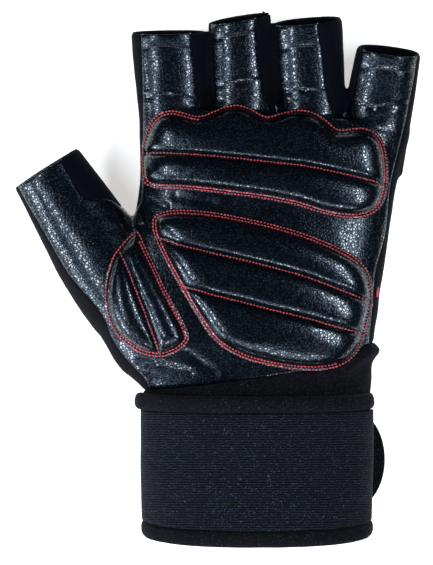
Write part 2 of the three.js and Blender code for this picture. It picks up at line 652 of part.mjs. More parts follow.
// The cuff runs from the band's upper binding to the slanted lower edge of the palm leather.
function cuffFrame(t) {
  const edge = palmFrame(PALM_FROM);
  const slant = CUFF_SLANT * t;
  const low = WRIST_LINE + SEAM_GAP;
  const high = WRIST_LINE + PALM_FROM * PALM_LENGTH - SEAM_GAP;
  const swell = CUFF_ROLL * Math.sin(Math.PI * t);
  return wristFrame({
    centre: edge.centre.x,
    halfWidth: edge.halfWidth - CUFF_SETBACK * (1 - t) + swell,
    y: THREE.MathUtils.lerp(low, high, t),
    floor: 0,
    crest: THREE.MathUtils.lerp(BAND_CREST, PALM_SECTIONS[0].high * PALM_DEPTH + CUFF_PROUD, t) - swell / 2,
    rise: slant,
  });
}
const cuffFrames = steps(0, 1, 6).map(cuffFrame);
const cuffDroops = steps(BAND_DROOP_HAND, 0, 6);
const cuff = tube(cuffFrames, CUFF_WALL, cuffDroops);

// Everything on the arm's side of the palm leather's lower edge
const edgeRing = ring(palmFrame(PALM_FROM), -PALM_DEPTH, BODY_SIDES);
const armSide = solid(loft([edgeRing.map((p) => p.clone().setY(p.y - PALM_DEPTH)), edgeRing]));

// The closure tab, a flat strap end with a rounded point
function tab() {
  const end = WRIST_WIDTH / 2 + TAB_REACH;
  const shape = new THREE.Shape();
  shape.moveTo(end - TAB_LENGTH, -TAB_HALF_HEIGHT);
  shape.lineTo(end - TAB_END_DEPTH, -TAB_HALF_HEIGHT);
  shape.absellipse(end - TAB_END_DEPTH, 0, TAB_END_DEPTH, TAB_HALF_HEIGHT, -Math.PI / 2, Math.PI / 2, false);
  shape.lineTo(end - TAB_LENGTH, TAB_HALF_HEIGHT);
  shape.closePath();
  const plate = new THREE.ExtrudeGeometry(shape, { depth: TAB_THICKNESS, bevelEnabled: false, curveSegments: 10 });
  return plate.translate(0, BAND_START + TAB_CENTRE_SHARE * BAND_LENGTH, 0);
}

const LEATHER = { color: 0x14181c, roughness: 0.42, metalness: 0 };
const PAD_LEATHER = { color: 0x171b20, roughness: 0.4, metalness: 0 };
const BACK_CLOTH = { color: 0x15151d, roughness: 0.85, metalness: 0 };
const SIDE_CLOTH = { color: 0x191c2b, roughness: 0.85, metalness: 0 };
const ELASTIC = { color: 0x11141d, roughness: 0.9, metalness: 0 };
const PLUSH = { color: 0x0b0b0e, roughness: 0.95, metalness: 0 };

const pieces = [
  ["palm_leather", geometryOf(largest(leatherPiece)), LEATHER],
  ["hand_back", geometryOf(largest(backPiece)), BACK_CLOTH],
  ...fourchettes.map(({ name, solid: cut }) => [name, geometryOf(largest(cut)), SIDE_CLOTH]),
  ["thumb_gusset", geometryOf(largest(gusset)), SIDE_CLOTH],
  ...PADS.map((entry) => [entry.name, geometryOf(largest(pad(entry).subtract(armSide))), PAD_LEATHER]),
  ["cuff", geometryOf(cuff), PLUSH],
  ["wrist_band", geometryOf(band), ELASTIC],
  ["band_top_binding", geometryOf(binding(1, TOP_BINDING_PROUD, -TOP_BINDING_SHIFT)), PLUSH],
  ["band_bottom_binding", geometryOf(binding(0, BOTTOM_BINDING_PROUD, 0)), PLUSH],
  ["closure_tab", tab(), PLUSH],
];

const extent = new THREE.Box3();
for (const [, geometry] of pieces) {
  geometry.computeBoundingBox();
  extent.union(geometry.boundingBox);
}
const middle = extent.getCenter(new THREE.Vector3());

const group = new THREE.Group();
group.name = "weightlifting_glove";
for (const [name, geometry, look] of pieces) {
  geometry.translate(-middle.x, -middle.y, -extent.min.z);
  geometry.computeVertexNormals();
  const mesh = new THREE.Mesh(geometry, new THREE.MeshStandardMaterial(look));
  mesh.name = name;
  group.add(mesh);
}

export default group;
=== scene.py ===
import math
import random

import bmesh
import bpy
import numpy as np
from mathutils import Matrix, Vector, noise
from mathutils.bvhtree import BVHTree
from mathutils.kdtree import KDTree


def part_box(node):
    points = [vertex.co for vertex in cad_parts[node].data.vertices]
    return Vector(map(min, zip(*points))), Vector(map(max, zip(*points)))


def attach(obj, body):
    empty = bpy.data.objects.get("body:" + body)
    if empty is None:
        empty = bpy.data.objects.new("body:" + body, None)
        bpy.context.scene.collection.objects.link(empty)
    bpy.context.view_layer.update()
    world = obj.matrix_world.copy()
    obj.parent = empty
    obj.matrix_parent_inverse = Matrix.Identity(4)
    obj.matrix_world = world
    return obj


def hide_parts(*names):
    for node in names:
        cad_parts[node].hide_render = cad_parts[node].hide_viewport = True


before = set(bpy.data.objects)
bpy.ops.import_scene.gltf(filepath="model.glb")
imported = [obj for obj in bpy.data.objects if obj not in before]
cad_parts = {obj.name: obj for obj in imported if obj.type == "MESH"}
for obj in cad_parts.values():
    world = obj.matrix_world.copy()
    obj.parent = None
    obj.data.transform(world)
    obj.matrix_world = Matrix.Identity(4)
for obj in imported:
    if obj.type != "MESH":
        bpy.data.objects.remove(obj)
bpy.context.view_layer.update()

bl_info = {
    "name": "Weightlifting glove",
    "version": (1, 0, 0),
    "blender": (4, 5, 0),
    "location": "3D View > Sidebar > Glove",
    "description": "Models a fingerless leather weightlifting glove with quilted pads and a wrist wrap",
    "category": "Object",
}

MM = 0.001
BAND_LOW, BAND_HIGH = (Vector(corner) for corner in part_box("wrist_band"))
TAB_LOW, TAB_HIGH = (Vector(corner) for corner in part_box("closure_tab"))
HEM_LOW = Vector(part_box("band_bottom_binding")[0])

# The plan: points seen from above the palm, in steps of PLAN_STEP. x runs to the little finger
# and y from above the fingertips down to the wrist. PLAN_SIZE is what the camera sees.
STEP_MM = 0.4
PLAN_STEP = STEP_MM * MM
PLAN_MIDDLE = 257
PLAN_FOOT = 547
PLAN_SIZE = (433, 565)
DATUM = Vector(((BAND_LOW.x + BAND_HIGH.x) / 2, HEM_LOW.y, 0))

# The glove's sizes in mm, as in its solids
WRIST_LINE = 61.8
PALM_WIDTH = 108.8
PALM_LENGTH = 114.7
PALM_DEPTH = 36
KNUCKLE_LINE = WRIST_LINE + PALM_LENGTH
PALM_SQUARENESS = 2.8
STALL_SQUARENESS = 2.25
FINGER_CENTRE_HEIGHT = 15
STALL_SWELL = 0.02


def plan(x, y, z=0.0):
    """A point of the plan in the row's frame."""
    return Vector((DATUM.x + (x - PLAN_MIDDLE) * PLAN_STEP, DATUM.y + (PLAN_FOOT - y) * PLAN_STEP, z))


def to_plan(x, y):
    """Places of the row's frame on the plan, as numbers or as arrays."""
    return (x - DATUM.x) / PLAN_STEP + PLAN_MIDDLE, PLAN_FOOT - (y - DATUM.y) / PLAN_STEP


# Sections of the palm: at along its length, left, right, low and high as shares of its width and
# depth, and slant as a share of CUFF_SLANT
CUFF_SLANT = 17.2
PALM_COLUMNS = ("at", "left", "right", "low", "high", "slant")
PALM_SECTIONS = (
    (-0.06, -0.40, 0.43, -0.04, 0.90, 1.0),
    (0.017, -0.423, 0.43, -0.04, 0.93, 1.0),
    (0.08, -0.5, 0.432, -0.04, 0.96, 0.8),
    (0.15, -0.548, 0.437, -0.04, 1.0, 0.59),
    (0.22, -0.585, 0.445, -0.04, 1.0, 0.4),
    (0.323, -0.585, 0.452, -0.04, 1.0, 0.15),
    (0.428, -0.548, 0.467, -0.04, 0.98, 0.0),
    (0.533, -0.496, 0.482, -0.04, 0.95, 0.0),
    (0.62, -0.452, 0.496, -0.04, 0.92, 0.0),
    (0.707, -0.434, 0.511, -0.04, 0.89, 0.0),
    (0.812, -0.43, 0.537, -0.04, 0.85, 0.0),
    (0.916, -0.434, 0.5625, -0.02, 0.8, -0.12),
    (1.0, -0.43, 0.56, 0.03, 0.74, -0.4),
)

# Finger stalls: x and y of the root, width, tip width, depth and length as shares of the palm's
# sizes; lean, tilt, skew and the opening's own slope in degrees
FINGER_COLUMNS = ("name", "x", "y", "width", "tip", "depth", "length", "lean", "tilt", "skew", "mouth")
FINGERS = (
    ("index", -0.307, 0, 0.261, 0.276, 0.583, 0.258, -3.8, 12, -3, 6),
    ("middle", -0.053, 0, 0.243, 0.234, 0.583, 0.305, -2, 12, 7, 8),
    ("ring", 0.2, 0, 0.25, 0.255, 0.583, 0.296, -2.7, 14, 2.3, 9.5),
    ("little", 0.445, -0.038, 0.247, 0.237, 0.556, 0.234, 9, 20, 2, 12),
)
STALL_OVERLAP = 22

THUMB_TIP = (-0.776, 0.785)
THUMB_LEAN = 32
THUMB_LENGTH = 76
THUMB_WIDTH = 30
THUMB_COLUMNS = ("at", "half", "low", "high")
THUMB_SECTIONS = (
    (-0.1, 0.5, 0.1, 0.75),
    (0.0, 0.5, 0.1, 0.76),
    (0.14, 0.53, 0.09, 0.78),
    (0.33, 0.575, 0.07, 0.82),
    (0.5, 0.62, -0.03, 0.88),
    (0.68, 0.625, -0.03, 0.93),
    (0.86, 0.6, -0.03, 0.96),
    (1.0, 0.52, 0.04, 0.93),
)

# The seam round the palm leather on the plan, run up the thumb's side of the palm, over the
# fingers, down the little finger's side and along the cuff
PALM_SEAM = (
    (141, 190), (141.5, 160), (142, 135), (142, 110), (141.5, 85), (141, 60), (140, 35), (139, 5),
    (191, 5), (192, 35), (195, 60), (197, 80), (199, 97), (201, 103), (205, 107), (209, 106),
    (212, 102), (214, 96), (213, 80), (211, 60), (210, 30), (209, -5),
    (256, -5), (257, 25), (258, 50), (261, 70), (264, 85), (266, 97), (268, 103), (271.5, 107),
    (275, 106), (278, 102), (279.5, 95), (279, 80), (277, 60), (275, 30), (273, -5),
    (316, -5), (318, 25), (321, 40), (324, 60), (326, 80), (329, 95), (333, 107), (336.5, 112.5),
    (339.5, 114.5), (343, 113), (347, 108), (350.5, 102), (352.5, 95), (354, 85), (357, 70),
    (359, 60), (361, 48), (364, 25),
    (423, 25), (418, 56), (416.5, 65), (414.5, 80), (412, 92), (410.5, 100), (407, 120), (402, 140),
    (397, 160), (392, 180), (389.5, 200), (388, 220), (386, 236), (382, 250), (378, 264),
    (375.5, 275), (374.5, 290), (373, 310), (371, 330), (369.5, 345), (371, 375), (371, 420),
    (140, 420), (150, 393), (146, 380), (137, 371), (127, 361), (118, 350), (112, 340), (108, 330),
    (104, 319), (97, 308), (88, 298), (78, 287), (68, 275), (60, 262), (52, 248), (46, 237),
    (37, 222), (28, 207), (20, 192), (8, 172),
    (46, 128), (61, 154), (66, 167), (73, 180), (80, 192), (86, 198), (97, 198), (112, 198.5),
    (118, 204), (125, 208), (134, 208.5), (138.5, 205), (140.5, 199),
)

# Where the palm ends at the wrist, from the thumb's side to the outer side
WRIST_EDGE = (
    (120, 390), (147, 390), (160, 388.5), (174, 388), (209, 385), (236, 381), (263, 378), (290, 373.5),
    (316, 371), (328, 367.5), (343, 362), (352, 355), (362, 347), (373, 342), (395, 340),
)

# Pads: the stitched outline on the plan and the quilting lines. The heights of cushion and rim are among the
# sizes.
UPPER_OUTLINE = (
    (143, 150), (145, 140), (148, 130), (152, 121), (158, 115), (165, 112), (172, 111), (180, 112.5),
    (188, 115), (195, 117), (202, 117), (210, 114), (218, 110.5), (225, 107.5), (232, 106),
    (238, 105.5), (244, 107), (250, 109.5), (256, 113), (262, 116.5), (267, 118), (274, 116.5),
    (282, 114), (290, 112), (298, 110.5), (306, 111), (314, 113.5), (320, 117), (326, 121.5),
    (331, 126), (336, 130), (341, 131), (348, 130), (356, 129), (362, 128.5), (368, 130), (374, 133),
    (379, 138), (383, 145), (385, 155), (386, 165), (386.5, 175), (386, 185), (384, 196), (381, 204),
    (376, 210), (370, 214), (362, 216.5), (355, 217.5), (345, 217), (335, 215.5), (325, 213.5),
    (315, 210.5), (305, 207), (295, 204), (285, 202), (265, 198), (245, 195.5), (225, 193),
    (205, 190.5), (185, 188.5), (165, 188), (155, 187), (148, 185), (144, 181), (142.5, 170),
    (142.5, 160),
)
UPPER_CHANNEL = (
    (143, 153.3), (155, 153.4), (170, 153.5), (190, 154.5), (210, 156), (230, 158), (250, 160),
    (270, 162.5), (290, 164.5), (300, 165.5), (320, 169), (340, 173.5), (360, 178), (386, 185),
)
HEEL_OUTLINE = (
    (153, 222), (155, 217), (160, 213.5), (168, 211.5), (178, 210.5), (190, 211), (200, 211.5),
    (212, 213), (225, 215), (240, 218), (255, 221), (270, 224.5), (285, 228.5), (300, 233),
    (315, 238.5), (330, 244.5), (342, 250.5), (352, 256), (360, 262.5), (366, 270), (369.5, 279),
    (371, 290), (371, 300), (369.5, 310), (367, 320), (364, 332), (361, 342), (356, 352), (350, 359),
    (343, 363.5), (334, 367), (322, 369), (312, 369.5), (300, 369), (288, 367.5), (275, 365.5),
    (262, 362.5), (250, 359.5), (240, 355.5), (230, 350.5), (220, 344), (212, 336), (205, 326),
    (198, 315), (190, 302), (182, 288), (174, 274), (166, 259), (159, 245), (154, 233),
)
HEEL_CHANNELS = (
    (
        (158, 238), (168, 241), (178, 245), (190, 248), (205, 251.5), (220, 255), (240, 259.5),
        (260, 264.5), (280, 269.5), (300, 275), (320, 282), (340, 290), (355, 296), (371, 302),
    ),
    (
        (180, 285.5), (187, 287.5), (200, 291), (215, 295.5), (230, 299), (250, 304), (270, 309.5),
        (290, 314), (310, 319), (330, 325), (345, 329), (366, 334),
    ),
)
THUMB_OUTLINE = (
    (138, 231.5), (143, 243), (150, 258), (157, 272), (163, 286), (170, 299), (177, 312),
    (184, 325), (188, 335), (188, 341), (180, 349), (172, 353), (163, 356), (152, 355.5),
    (140, 352), (130, 346), (120, 337), (113, 326), (108, 314), (106, 302), (106, 290), (107, 280),
    (110, 268), (114, 256), (120, 248), (128, 239), (134, 233.5),
)
THUMB_CHANNEL = (
    (119, 250), (123, 259), (128, 270), (133, 283), (138, 296), (143, 308), (148, 320), (153, 333),
    (157, 343), (160, 356),
)

# Folds pressed into the leather: from one plan point to another, with a width and a depth in mm
CREASE_COLUMNS = ("x1", "y1", "x2", "y2", "width", "depth")
CREASES = (
    (142, 98, 170, 96, 0.9, 0.45),
    (170, 96, 198, 101, 0.9, 0.45),
    (213, 87, 240, 83, 0.9, 0.45),
    (240, 83, 264, 80, 0.9, 0.45),
    (214, 102, 236, 99, 0.8, 0.25),
    (278, 94, 303, 91, 0.9, 0.45),
    (303, 91, 328, 93, 0.9, 0.45),
    (280, 104, 306, 101, 0.8, 0.25),
    (352, 103, 372, 109, 1.2, 0.45),
    (372, 109, 410, 104, 1.1, 0.35),
    (342, 116, 366, 122, 1.0, 0.35),
    (141, 207, 142, 221, 1.0, 0.4),
    (142, 221, 150, 229, 1.0, 0.4),
    (126, 213, 133, 228, 1.2, 0.25),
    (176, 196, 214, 204, 1.6, 0.35),
    (240, 203, 290, 214, 1.8, 0.3),
    (150, 200, 166, 207, 1.2, 0.35),
    (392, 150, 380, 222, 1.6, 0.3),
    (186, 352, 214, 372, 1.8, 0.4),
    (140, 362, 190, 372, 1.6, 0.35),
)


# Hems: the sewn line behind each opening
HEMS = (
    ((141, 49), (150, 47), (168, 46), (185, 49), (194, 52)),
    ((212, 40), (237, 36), (257, 33)),
    ((276, 50), (295, 47.5), (321, 46)),
    ((361, 67.5), (375, 69), (393, 71), (417, 73)),
)

# Where the leather is gathered: capsules from one plan point to another, with a width in plan steps
GATHER_COLUMNS = ("x1", "y1", "x2", "y2", "width")
GATHERS = (
    (142, 40, 193, 41, 6),
    (213, 30, 256, 25, 6),
    (277, 37, 320, 35, 10),
    (362, 60, 417, 65, 7),
    (143, 104, 202, 106, 8),
    (214, 95, 266, 95, 9),
    (280, 102, 332, 100, 9),
    (346, 118, 402, 120, 9),
    (150, 197, 230, 203, 6),
)


# Sizes and colours


class GloveSizes(bpy.types.PropertyGroup):
    """Sizes of the sewn pieces."""

    leather: bpy.props.FloatProperty(
        name="Leather", description="Thickness of the palm leather", default=1.5 * MM, unit="LENGTH"
    )
    cloth: bpy.props.FloatProperty(
        name="Cloth", description="Thickness of the back and side cloth",
        default=1.3 * MM, unit="LENGTH",
    )
    fineness: bpy.props.FloatProperty(
        name="Fineness", description="Size of the faces of the hand", default=0.85 * MM, unit="LENGTH"
    )
    seam_lap: bpy.props.FloatProperty(
        name="Seam lap", description="How far one sewn piece runs under the next",
        default=0.8 * MM, unit="LENGTH",
    )
    pad_height: bpy.props.FloatProperty(
        name="Pad height", description="Height of the cushions over the leather",
        default=5.0 * MM, unit="LENGTH",
    )
    pad_rim: bpy.props.FloatProperty(
        name="Pad rim", description="Height of the pads' stitched rim", default=0.9 * MM, unit="LENGTH"
    )
    stitch_pitch: bpy.props.FloatProperty(
        name="Stitch pitch", description="Length of one stitch and its gap",
        default=1.35 * MM, unit="LENGTH",
    )
    thread: bpy.props.FloatProperty(
        name="Thread", description="Thickness of the thread", default=0.52 * MM, unit="LENGTH"
    )
    rib_pitch: bpy.props.FloatProperty(
        name="Rib pitch", description="Distance between the ribs of the elastic",
        default=1.0 * MM, unit="LENGTH",
    )


class GloveColours(bpy.types.PropertyGroup):
    """Colours of the materials."""

    leather: bpy.props.FloatVectorProperty(
        name="Leather", description="Colour of the leather",
        default=(0.0017, 0.0033, 0.006), subtype="COLOR", min=0, max=1,
    )
    cloth: bpy.props.FloatVectorProperty(
        name="Cloth", description="Colour of the back cloth",
        default=(0.0025, 0.0025, 0.004), subtype="COLOR", min=0, max=1,
    )
    side: bpy.props.FloatVectorProperty(
        name="Side cloth", description="Colour of the strips between the fingers",
        default=(0.0008, 0.0012, 0.0042), subtype="COLOR", min=0, max=1,
    )
    elastic: bpy.props.FloatVectorProperty(
        name="Elastic", description="Colour of the elastic wrap",
        default=(0.0023, 0.0034, 0.0066), subtype="COLOR", min=0, max=1,
    )
    plush: bpy.props.FloatVectorProperty(
        name="Plush", description="Colour of the soft bindings",
        default=(0.0016, 0.0017, 0.0028), subtype="COLOR", min=0, max=1,
    )
    thread: bpy.props.FloatVectorProperty(
        name="Thread", description="Colour of the stitches",
        default=(0.5, 0.03, 0.04), subtype="COLOR", min=0, max=1,
    )
    floor: bpy.props.FloatVectorProperty(
        name="Floor", description="Colour of the floor",
        default=(0.95, 0.95, 0.95), subtype="COLOR", min=0, max=1,
    )


# Mesh helpers


def calm():
    """Leave edit mode with nothing selected."""
    if bpy.context.object and bpy.context.object.mode != "OBJECT":
        bpy.ops.object.mode_set(mode="OBJECT")
    bpy.ops.object.select_all(action="DESELECT")


def take(obj):
    """Select one object and make it active."""
    calm()
    obj.hide_set(False)
    obj.select_set(True)
    bpy.context.view_layer.objects.active = obj
    return obj


def named(name):
    obj = bpy.context.object
    obj.name = name
    obj.data.name = name
    return obj


def apply(obj, kind, **settings):
    """Add one modifier and apply it."""
    take(obj)
    modifier = obj.modifiers.new(kind.title(), kind)
    for key, value in settings.items():
        setattr(modifier, key, value)
    bpy.ops.object.modifier_apply(modifier=modifier.name)
    return obj


def points_of(obj):
    found = np.empty(len(obj.data.vertices) * 3)
    obj.data.vertices.foreach_get("co", found)
    return found.reshape(-1, 3)


def normals_of(obj):
    found = np.empty(len(obj.data.vertices) * 3)
    obj.data.vertices.foreach_get("normal", found)
    return found.reshape(-1, 3)


def set_points(obj, points):
    obj.data.vertices.foreach_set("co", np.asarray(points).ravel())
    obj.data.update()


def smoothstep(value, low, high):
    t = np.clip((value - low) / (high - low), 0, 1)
    return t * t * (3 - 2 * t)


def sample(columns, rows, at):
    """All columns of a table at one place, on a smooth curve through its rows."""
    last = len(rows) - 1
    k = next((i for i in range(last) if rows[i + 1][0] >= at), last - 1)
    before, start, end, after = rows[max(0, k - 1)], rows[k], rows[k + 1], rows[min(last, k + 2)]
    span = end[0] - start[0]
    t = (at - start[0]) / span
    found = {}
    for i, column in enumerate(columns):
        rise = (end[i] - before[i]) / (end[0] - before[0]) * span
        fall = (after[i] - start[i]) / (after[0] - start[0]) * span
        found[column] = (
            (2 * t**3 - 3 * t**2 + 1) * start[i]
            + (t**3 - 2 * t**2 + t) * rise
            + (3 * t**2 - 2 * t**3) * end[i]
            + (t**3 - t**2) * fall
        )
    return found


class Section:
    """One section of a tube: a centre, two directions, two half sizes and a squareness."""

    def __init__(self, centre, across, up, half_width, half_depth, squareness):
        self.centre = centre
        self.across = across
        self.up = up
        self.half_width = half_width
        self.half_depth = half_depth
        self.squareness = squareness

    def point(self, angle, inset=0.0):
        power = 2 / self.squareness
        c, s = math.cos(angle), math.sin(angle)
        along = (self.half_width - inset) * math.copysign(abs(c) ** power, c)
        rise = (self.half_depth - inset) * math.copysign(abs(s) ** power, s)
        found = self.centre + self.across * along + self.up * rise
        found.z = max(found.z, inset)
        return found

    def ring(self, sides, inset=0.0):
        return [self.point(math.tau * k / sides, inset) for k in range(sides)]


def in_frame(x, y, z):
    """Millimetres from the palm's centre line and the wrap's lower edge, in the row's frame."""
    return Vector((DATUM.x + x * MM, DATUM.y + y * MM, z * MM))


def palm_section(at):
    row = sample(PALM_COLUMNS, PALM_SECTIONS, at)
    left, right = row["left"] * PALM_WIDTH, row["right"] * PALM_WIDTH
    rise = row["slant"] * CUFF_SLANT
    middle = (row["low"] + row["high"]) * PALM_DEPTH / 2
    return Section(
        in_frame((left + right) / 2, WRIST_LINE + at * PALM_LENGTH + rise / 2, middle),
        Vector((1, rise / (right - left), 0)),
        Vector((0, 0, 1)),
        (right - left) / 2 * MM,
        (row["high"] - row["low"]) * PALM_DEPTH / 2 * MM,
        PALM_SQUARENESS,
    )


def finger_row(row):
    return dict(zip(FINGER_COLUMNS, row))


def finger_section(finger, distance):
    """A stall's section. Its tilt grows from half at the root to the whole at the tip."""
    length = finger["length"] * PALM_LENGTH
    t = distance / length
    grown = min(1, max(0, t))
    lean = math.radians(finger["lean"])
    tilt = math.radians(finger["tilt"]) * (0.5 + 0.5 * t)
    turn = math.radians(-finger["lean"] + finger["skew"] * grown)
    climb = math.radians(finger["tilt"]) * (0.5 * t + 0.25 * t * t) * length
    forward = Vector((math.sin(lean), math.cos(lean), 0))
    swell = 1 + STALL_SWELL * math.sin(math.pi * grown)
    width = (finger["width"] + (finger["tip"] - finger["width"]) * grown) * swell
    root = KNUCKLE_LINE + finger["y"] * PALM_LENGTH
    centre = in_frame(finger["x"] * PALM_WIDTH, root, FINGER_CENTRE_HEIGHT + climb)
    return Section(
        centre + forward * distance * MM,
        Vector((math.cos(turn), math.sin(turn), 0)),
        Vector((0, 0, math.cos(tilt))) - forward * math.sin(tilt),
        width * PALM_WIDTH / 2 * MM,
        finger["depth"] * PALM_DEPTH / 2 * MM,
        STALL_SQUARENESS,
    )


def thumb_section(distance):
    row = sample(THUMB_COLUMNS, THUMB_SECTIONS, distance / THUMB_LENGTH)
    lean = math.radians(THUMB_LEAN)
    middle = (row["low"] + row["high"]) * PALM_DEPTH / 2
    centre = in_frame(THUMB_TIP[0] * PALM_WIDTH, WRIST_LINE + THUMB_TIP[1] * PALM_LENGTH, middle)
    return Section(
        centre + Vector((math.sin(lean), -math.cos(lean), 0)) * distance * MM,
        Vector((math.cos(lean), math.sin(lean), 0)),
        Vector((0, 0, 1)),
        row["half"] * THUMB_WIDTH * MM,
        (row["high"] - row["low"]) * PALM_DEPTH / 2 * MM,
        STALL_SQUARENESS,
    )


def outward(obj):
    """Turn all faces of an object outwards."""
    take(obj)
    bpy.ops.object.mode_set(mode="EDIT")
    bpy.ops.mesh.select_all(action="SELECT")
    bpy.ops.mesh.normals_make_consistent(inside=False)
    bpy.ops.object.mode_set(mode="OBJECT")
    return obj


def loft(name, rings, capped=True):
    """A tube drawn as by hand: a circle, extruded once for each further section."""
    calm()
    sides = len(rings[0])
    bpy.ops.mesh.primitive_circle_add(vertices=sides, radius=1, fill_type="NOTHING")
    obj = named(name)
    bpy.ops.object.mode_set(mode="EDIT")
    bpy.ops.mesh.select_all(action="SELECT")
    if capped:
        bpy.ops.mesh.edge_face_add()
        bpy.ops.mesh.select_all(action="SELECT")
    for _ in rings[1:]:
        if capped:
            bpy.ops.mesh.extrude_region_move(TRANSFORM_OT_translate={"value": (0, 0, 1)})
        else:
            bpy.ops.mesh.extrude_edges_move(TRANSFORM_OT_translate={"value": (0, 0, 1)})
    bpy.ops.object.mode_set(mode="OBJECT")
    layers = {}
    for vertex in obj.data.vertices:
        layers.setdefault(round(vertex.co.z), []).append(vertex)
    for level, layer in layers.items():
        for vertex in layer:
            k = round(math.atan2(vertex.co.y, vertex.co.x) / math.tau * sides) % sides
            vertex.co = rings[level][k]
    obj.data.update()
    return outward(obj)


def linked(name, points, faces):
    """A new object of these points and faces, in the scene."""
    mesh = bpy.data.meshes.new(name)
    mesh.from_pydata(points, [], faces)
    obj = bpy.data.objects.new(name, mesh)
    bpy.context.scene.collection.objects.link(obj)
    return obj


def extruded(name, corners, way):
    """A closed solid: one flat face, drawn out in one direction."""
    obj = linked(name, corners, [list(range(len(corners)))])
    take(obj)
    bpy.ops.object.mode_set(mode="EDIT")
    bpy.ops.mesh.select_all(action="SELECT")
    bpy.ops.mesh.extrude_region_move(TRANSFORM_OT_translate={"value": way})
    bpy.ops.object.mode_set(mode="OBJECT")
    return outward(obj)


def prism(name, outline, low, high):
    """A closed solid over an outline, from one height to another."""
    return extruded(name, [Vector((p.x, p.y, low)) for p in outline], (0, 0, high - low))


def copy_of(obj, name):
    calm()
    mesh = obj.data.copy()
    mesh.name = name
    copy = bpy.data.objects.new(name, mesh)
    bpy.context.scene.collection.objects.link(copy)
    return copy


def discard(*objs):
    for obj in objs:
        mesh = obj.data
        bpy.data.objects.remove(obj)
        bpy.data.meshes.remove(mesh)


def cut(obj, cutter, operation):
    return apply(obj, "BOOLEAN", object=cutter, operation=operation, solver="EXACT")


def rounded(outline, passes=2, closed=True):
    """A plan outline with its corners rounded off."""
    points = [Vector(p) for p in outline]
    for _ in range(passes):
        found = []
        count = len(points)
        for i in range(count if closed else count - 1):
            a, b = points[i], points[(i + 1) % count]
            found += [a.lerp(b, 0.25), a.lerp(b, 0.75)]
        if not closed:
            found = [points[0]] + found + [points[-1]]
        points = found
    return points


def offset(outline, distance):
    """A closed plan outline moved outwards by a distance in plan steps."""
    after = outline[1:] + outline[:1]
    area = sum(a.x * b.y - b.x * a.y for a, b in zip(outline, after))
    turn = 1 if area > 0 else -1
    found = []
    for i, point in enumerate(outline):
        way = (after[i] - outline[i - 1]).normalized()
        found.append(point + Vector((way.y, -way.x)) * distance * turn)
    return found


def spaced(path, pitch, closed=False):
    """Points at even distances along a plan path, each with the path's direction there."""
    points = [Vector(p) for p in path]
    if closed:
        points.append(points[0])
    lengths = [(b - a).length for a, b in zip(points, points[1:])]
    total = sum(lengths)
    count = max(2, round(total / pitch))
    found = []
    run, i = 0.0, 0
    for k in range(count if closed else count + 1):
        target = total * k / count
        while i < len(lengths) - 1 and run + lengths[i] < target:
            run += lengths[i]
            i += 1
        t = min(1, (target - run) / max(lengths[i], 1e-9))
        found.append((points[i].lerp(points[i + 1], t), (points[i + 1] - points[i]).normalized()))
    return found


def distances(points, path, closed=False):
    """The distance of each plan point to a path, for arrays of points."""
    corners = [np.array(p, dtype=float) for p in path]
    if closed:
        corners.append(corners[0])
    nearest = np.full(len(points), np.inf)
    for a, b in zip(corners, corners[1:]):
        span = b - a
        t = np.clip(((points - a) @ span) / max(span @ span, 1e-9), 0, 1)
        nearest = np.minimum(nearest, np.linalg.norm(points - (a + t[:, None] * span), axis=1))
    return nearest


def inside(points, outline):
    """Which plan points lie inside a closed outline."""
    found = np.zeros(len(points), dtype=bool)
    count = len(outline)
    for i in range(count):
        (x1, y1), (x2, y2) = outline[i], outline[(i + 1) % count]
        crosses = (y1 > points[:, 1]) != (y2 > points[:, 1])
        with np.errstate(divide="ignore", invalid="ignore"):
            x = (x2 - x1) * (points[:, 1] - y1) / (y2 - y1) + x1
        found ^= crosses & (points[:, 0] < x)
    return found


def noise_at(points, scale, seed):
    shift = Vector((seed * 7.3, seed * 3.1, seed * 1.7))
    return np.array([noise.noise(Vector(p) * scale + shift) for p in points])


def waves(points, rows):
    """Soft unevenness: the sum of noises, each given by its height, scale and seed."""
    return sum(height * noise_at(points, scale, seed) for height, scale, seed in rows)


def shade(obj, material):
    obj.data.materials.clear()
    obj.data.materials.append(material)
    take(obj)
    bpy.ops.object.shade_smooth()
    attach(obj, "root")
    calm()
    return obj


# Materials


class Socket:
    """A node's output, on which Python's arithmetic makes Math nodes."""

    def __init__(self, surface, output):
        self.surface = surface
        self.output = output

    def math(self, operation, other):
        return self.surface.node("ShaderNodeMath", {"operation": operation}, [self, other])

    def __add__(self, other):
        return self.math("ADD", other)

    def __mul__(self, other):
        return self.math("MULTIPLY", other)

    def __rsub__(self, other):
        return self.surface.node("ShaderNodeMath", {"operation": "SUBTRACT"}, [other, self])

    __radd__ = __add__
    __rmul__ = __mul__

    def clamped(self, low, high):
        """From 0 where the value is low to 1 where it is high."""
        return self.surface.node(
            "ShaderNodeMapRange",
            {"interpolation_type": "SMOOTHSTEP"},
            {"Value": self, "From Min": low, "From Max": high},
        )


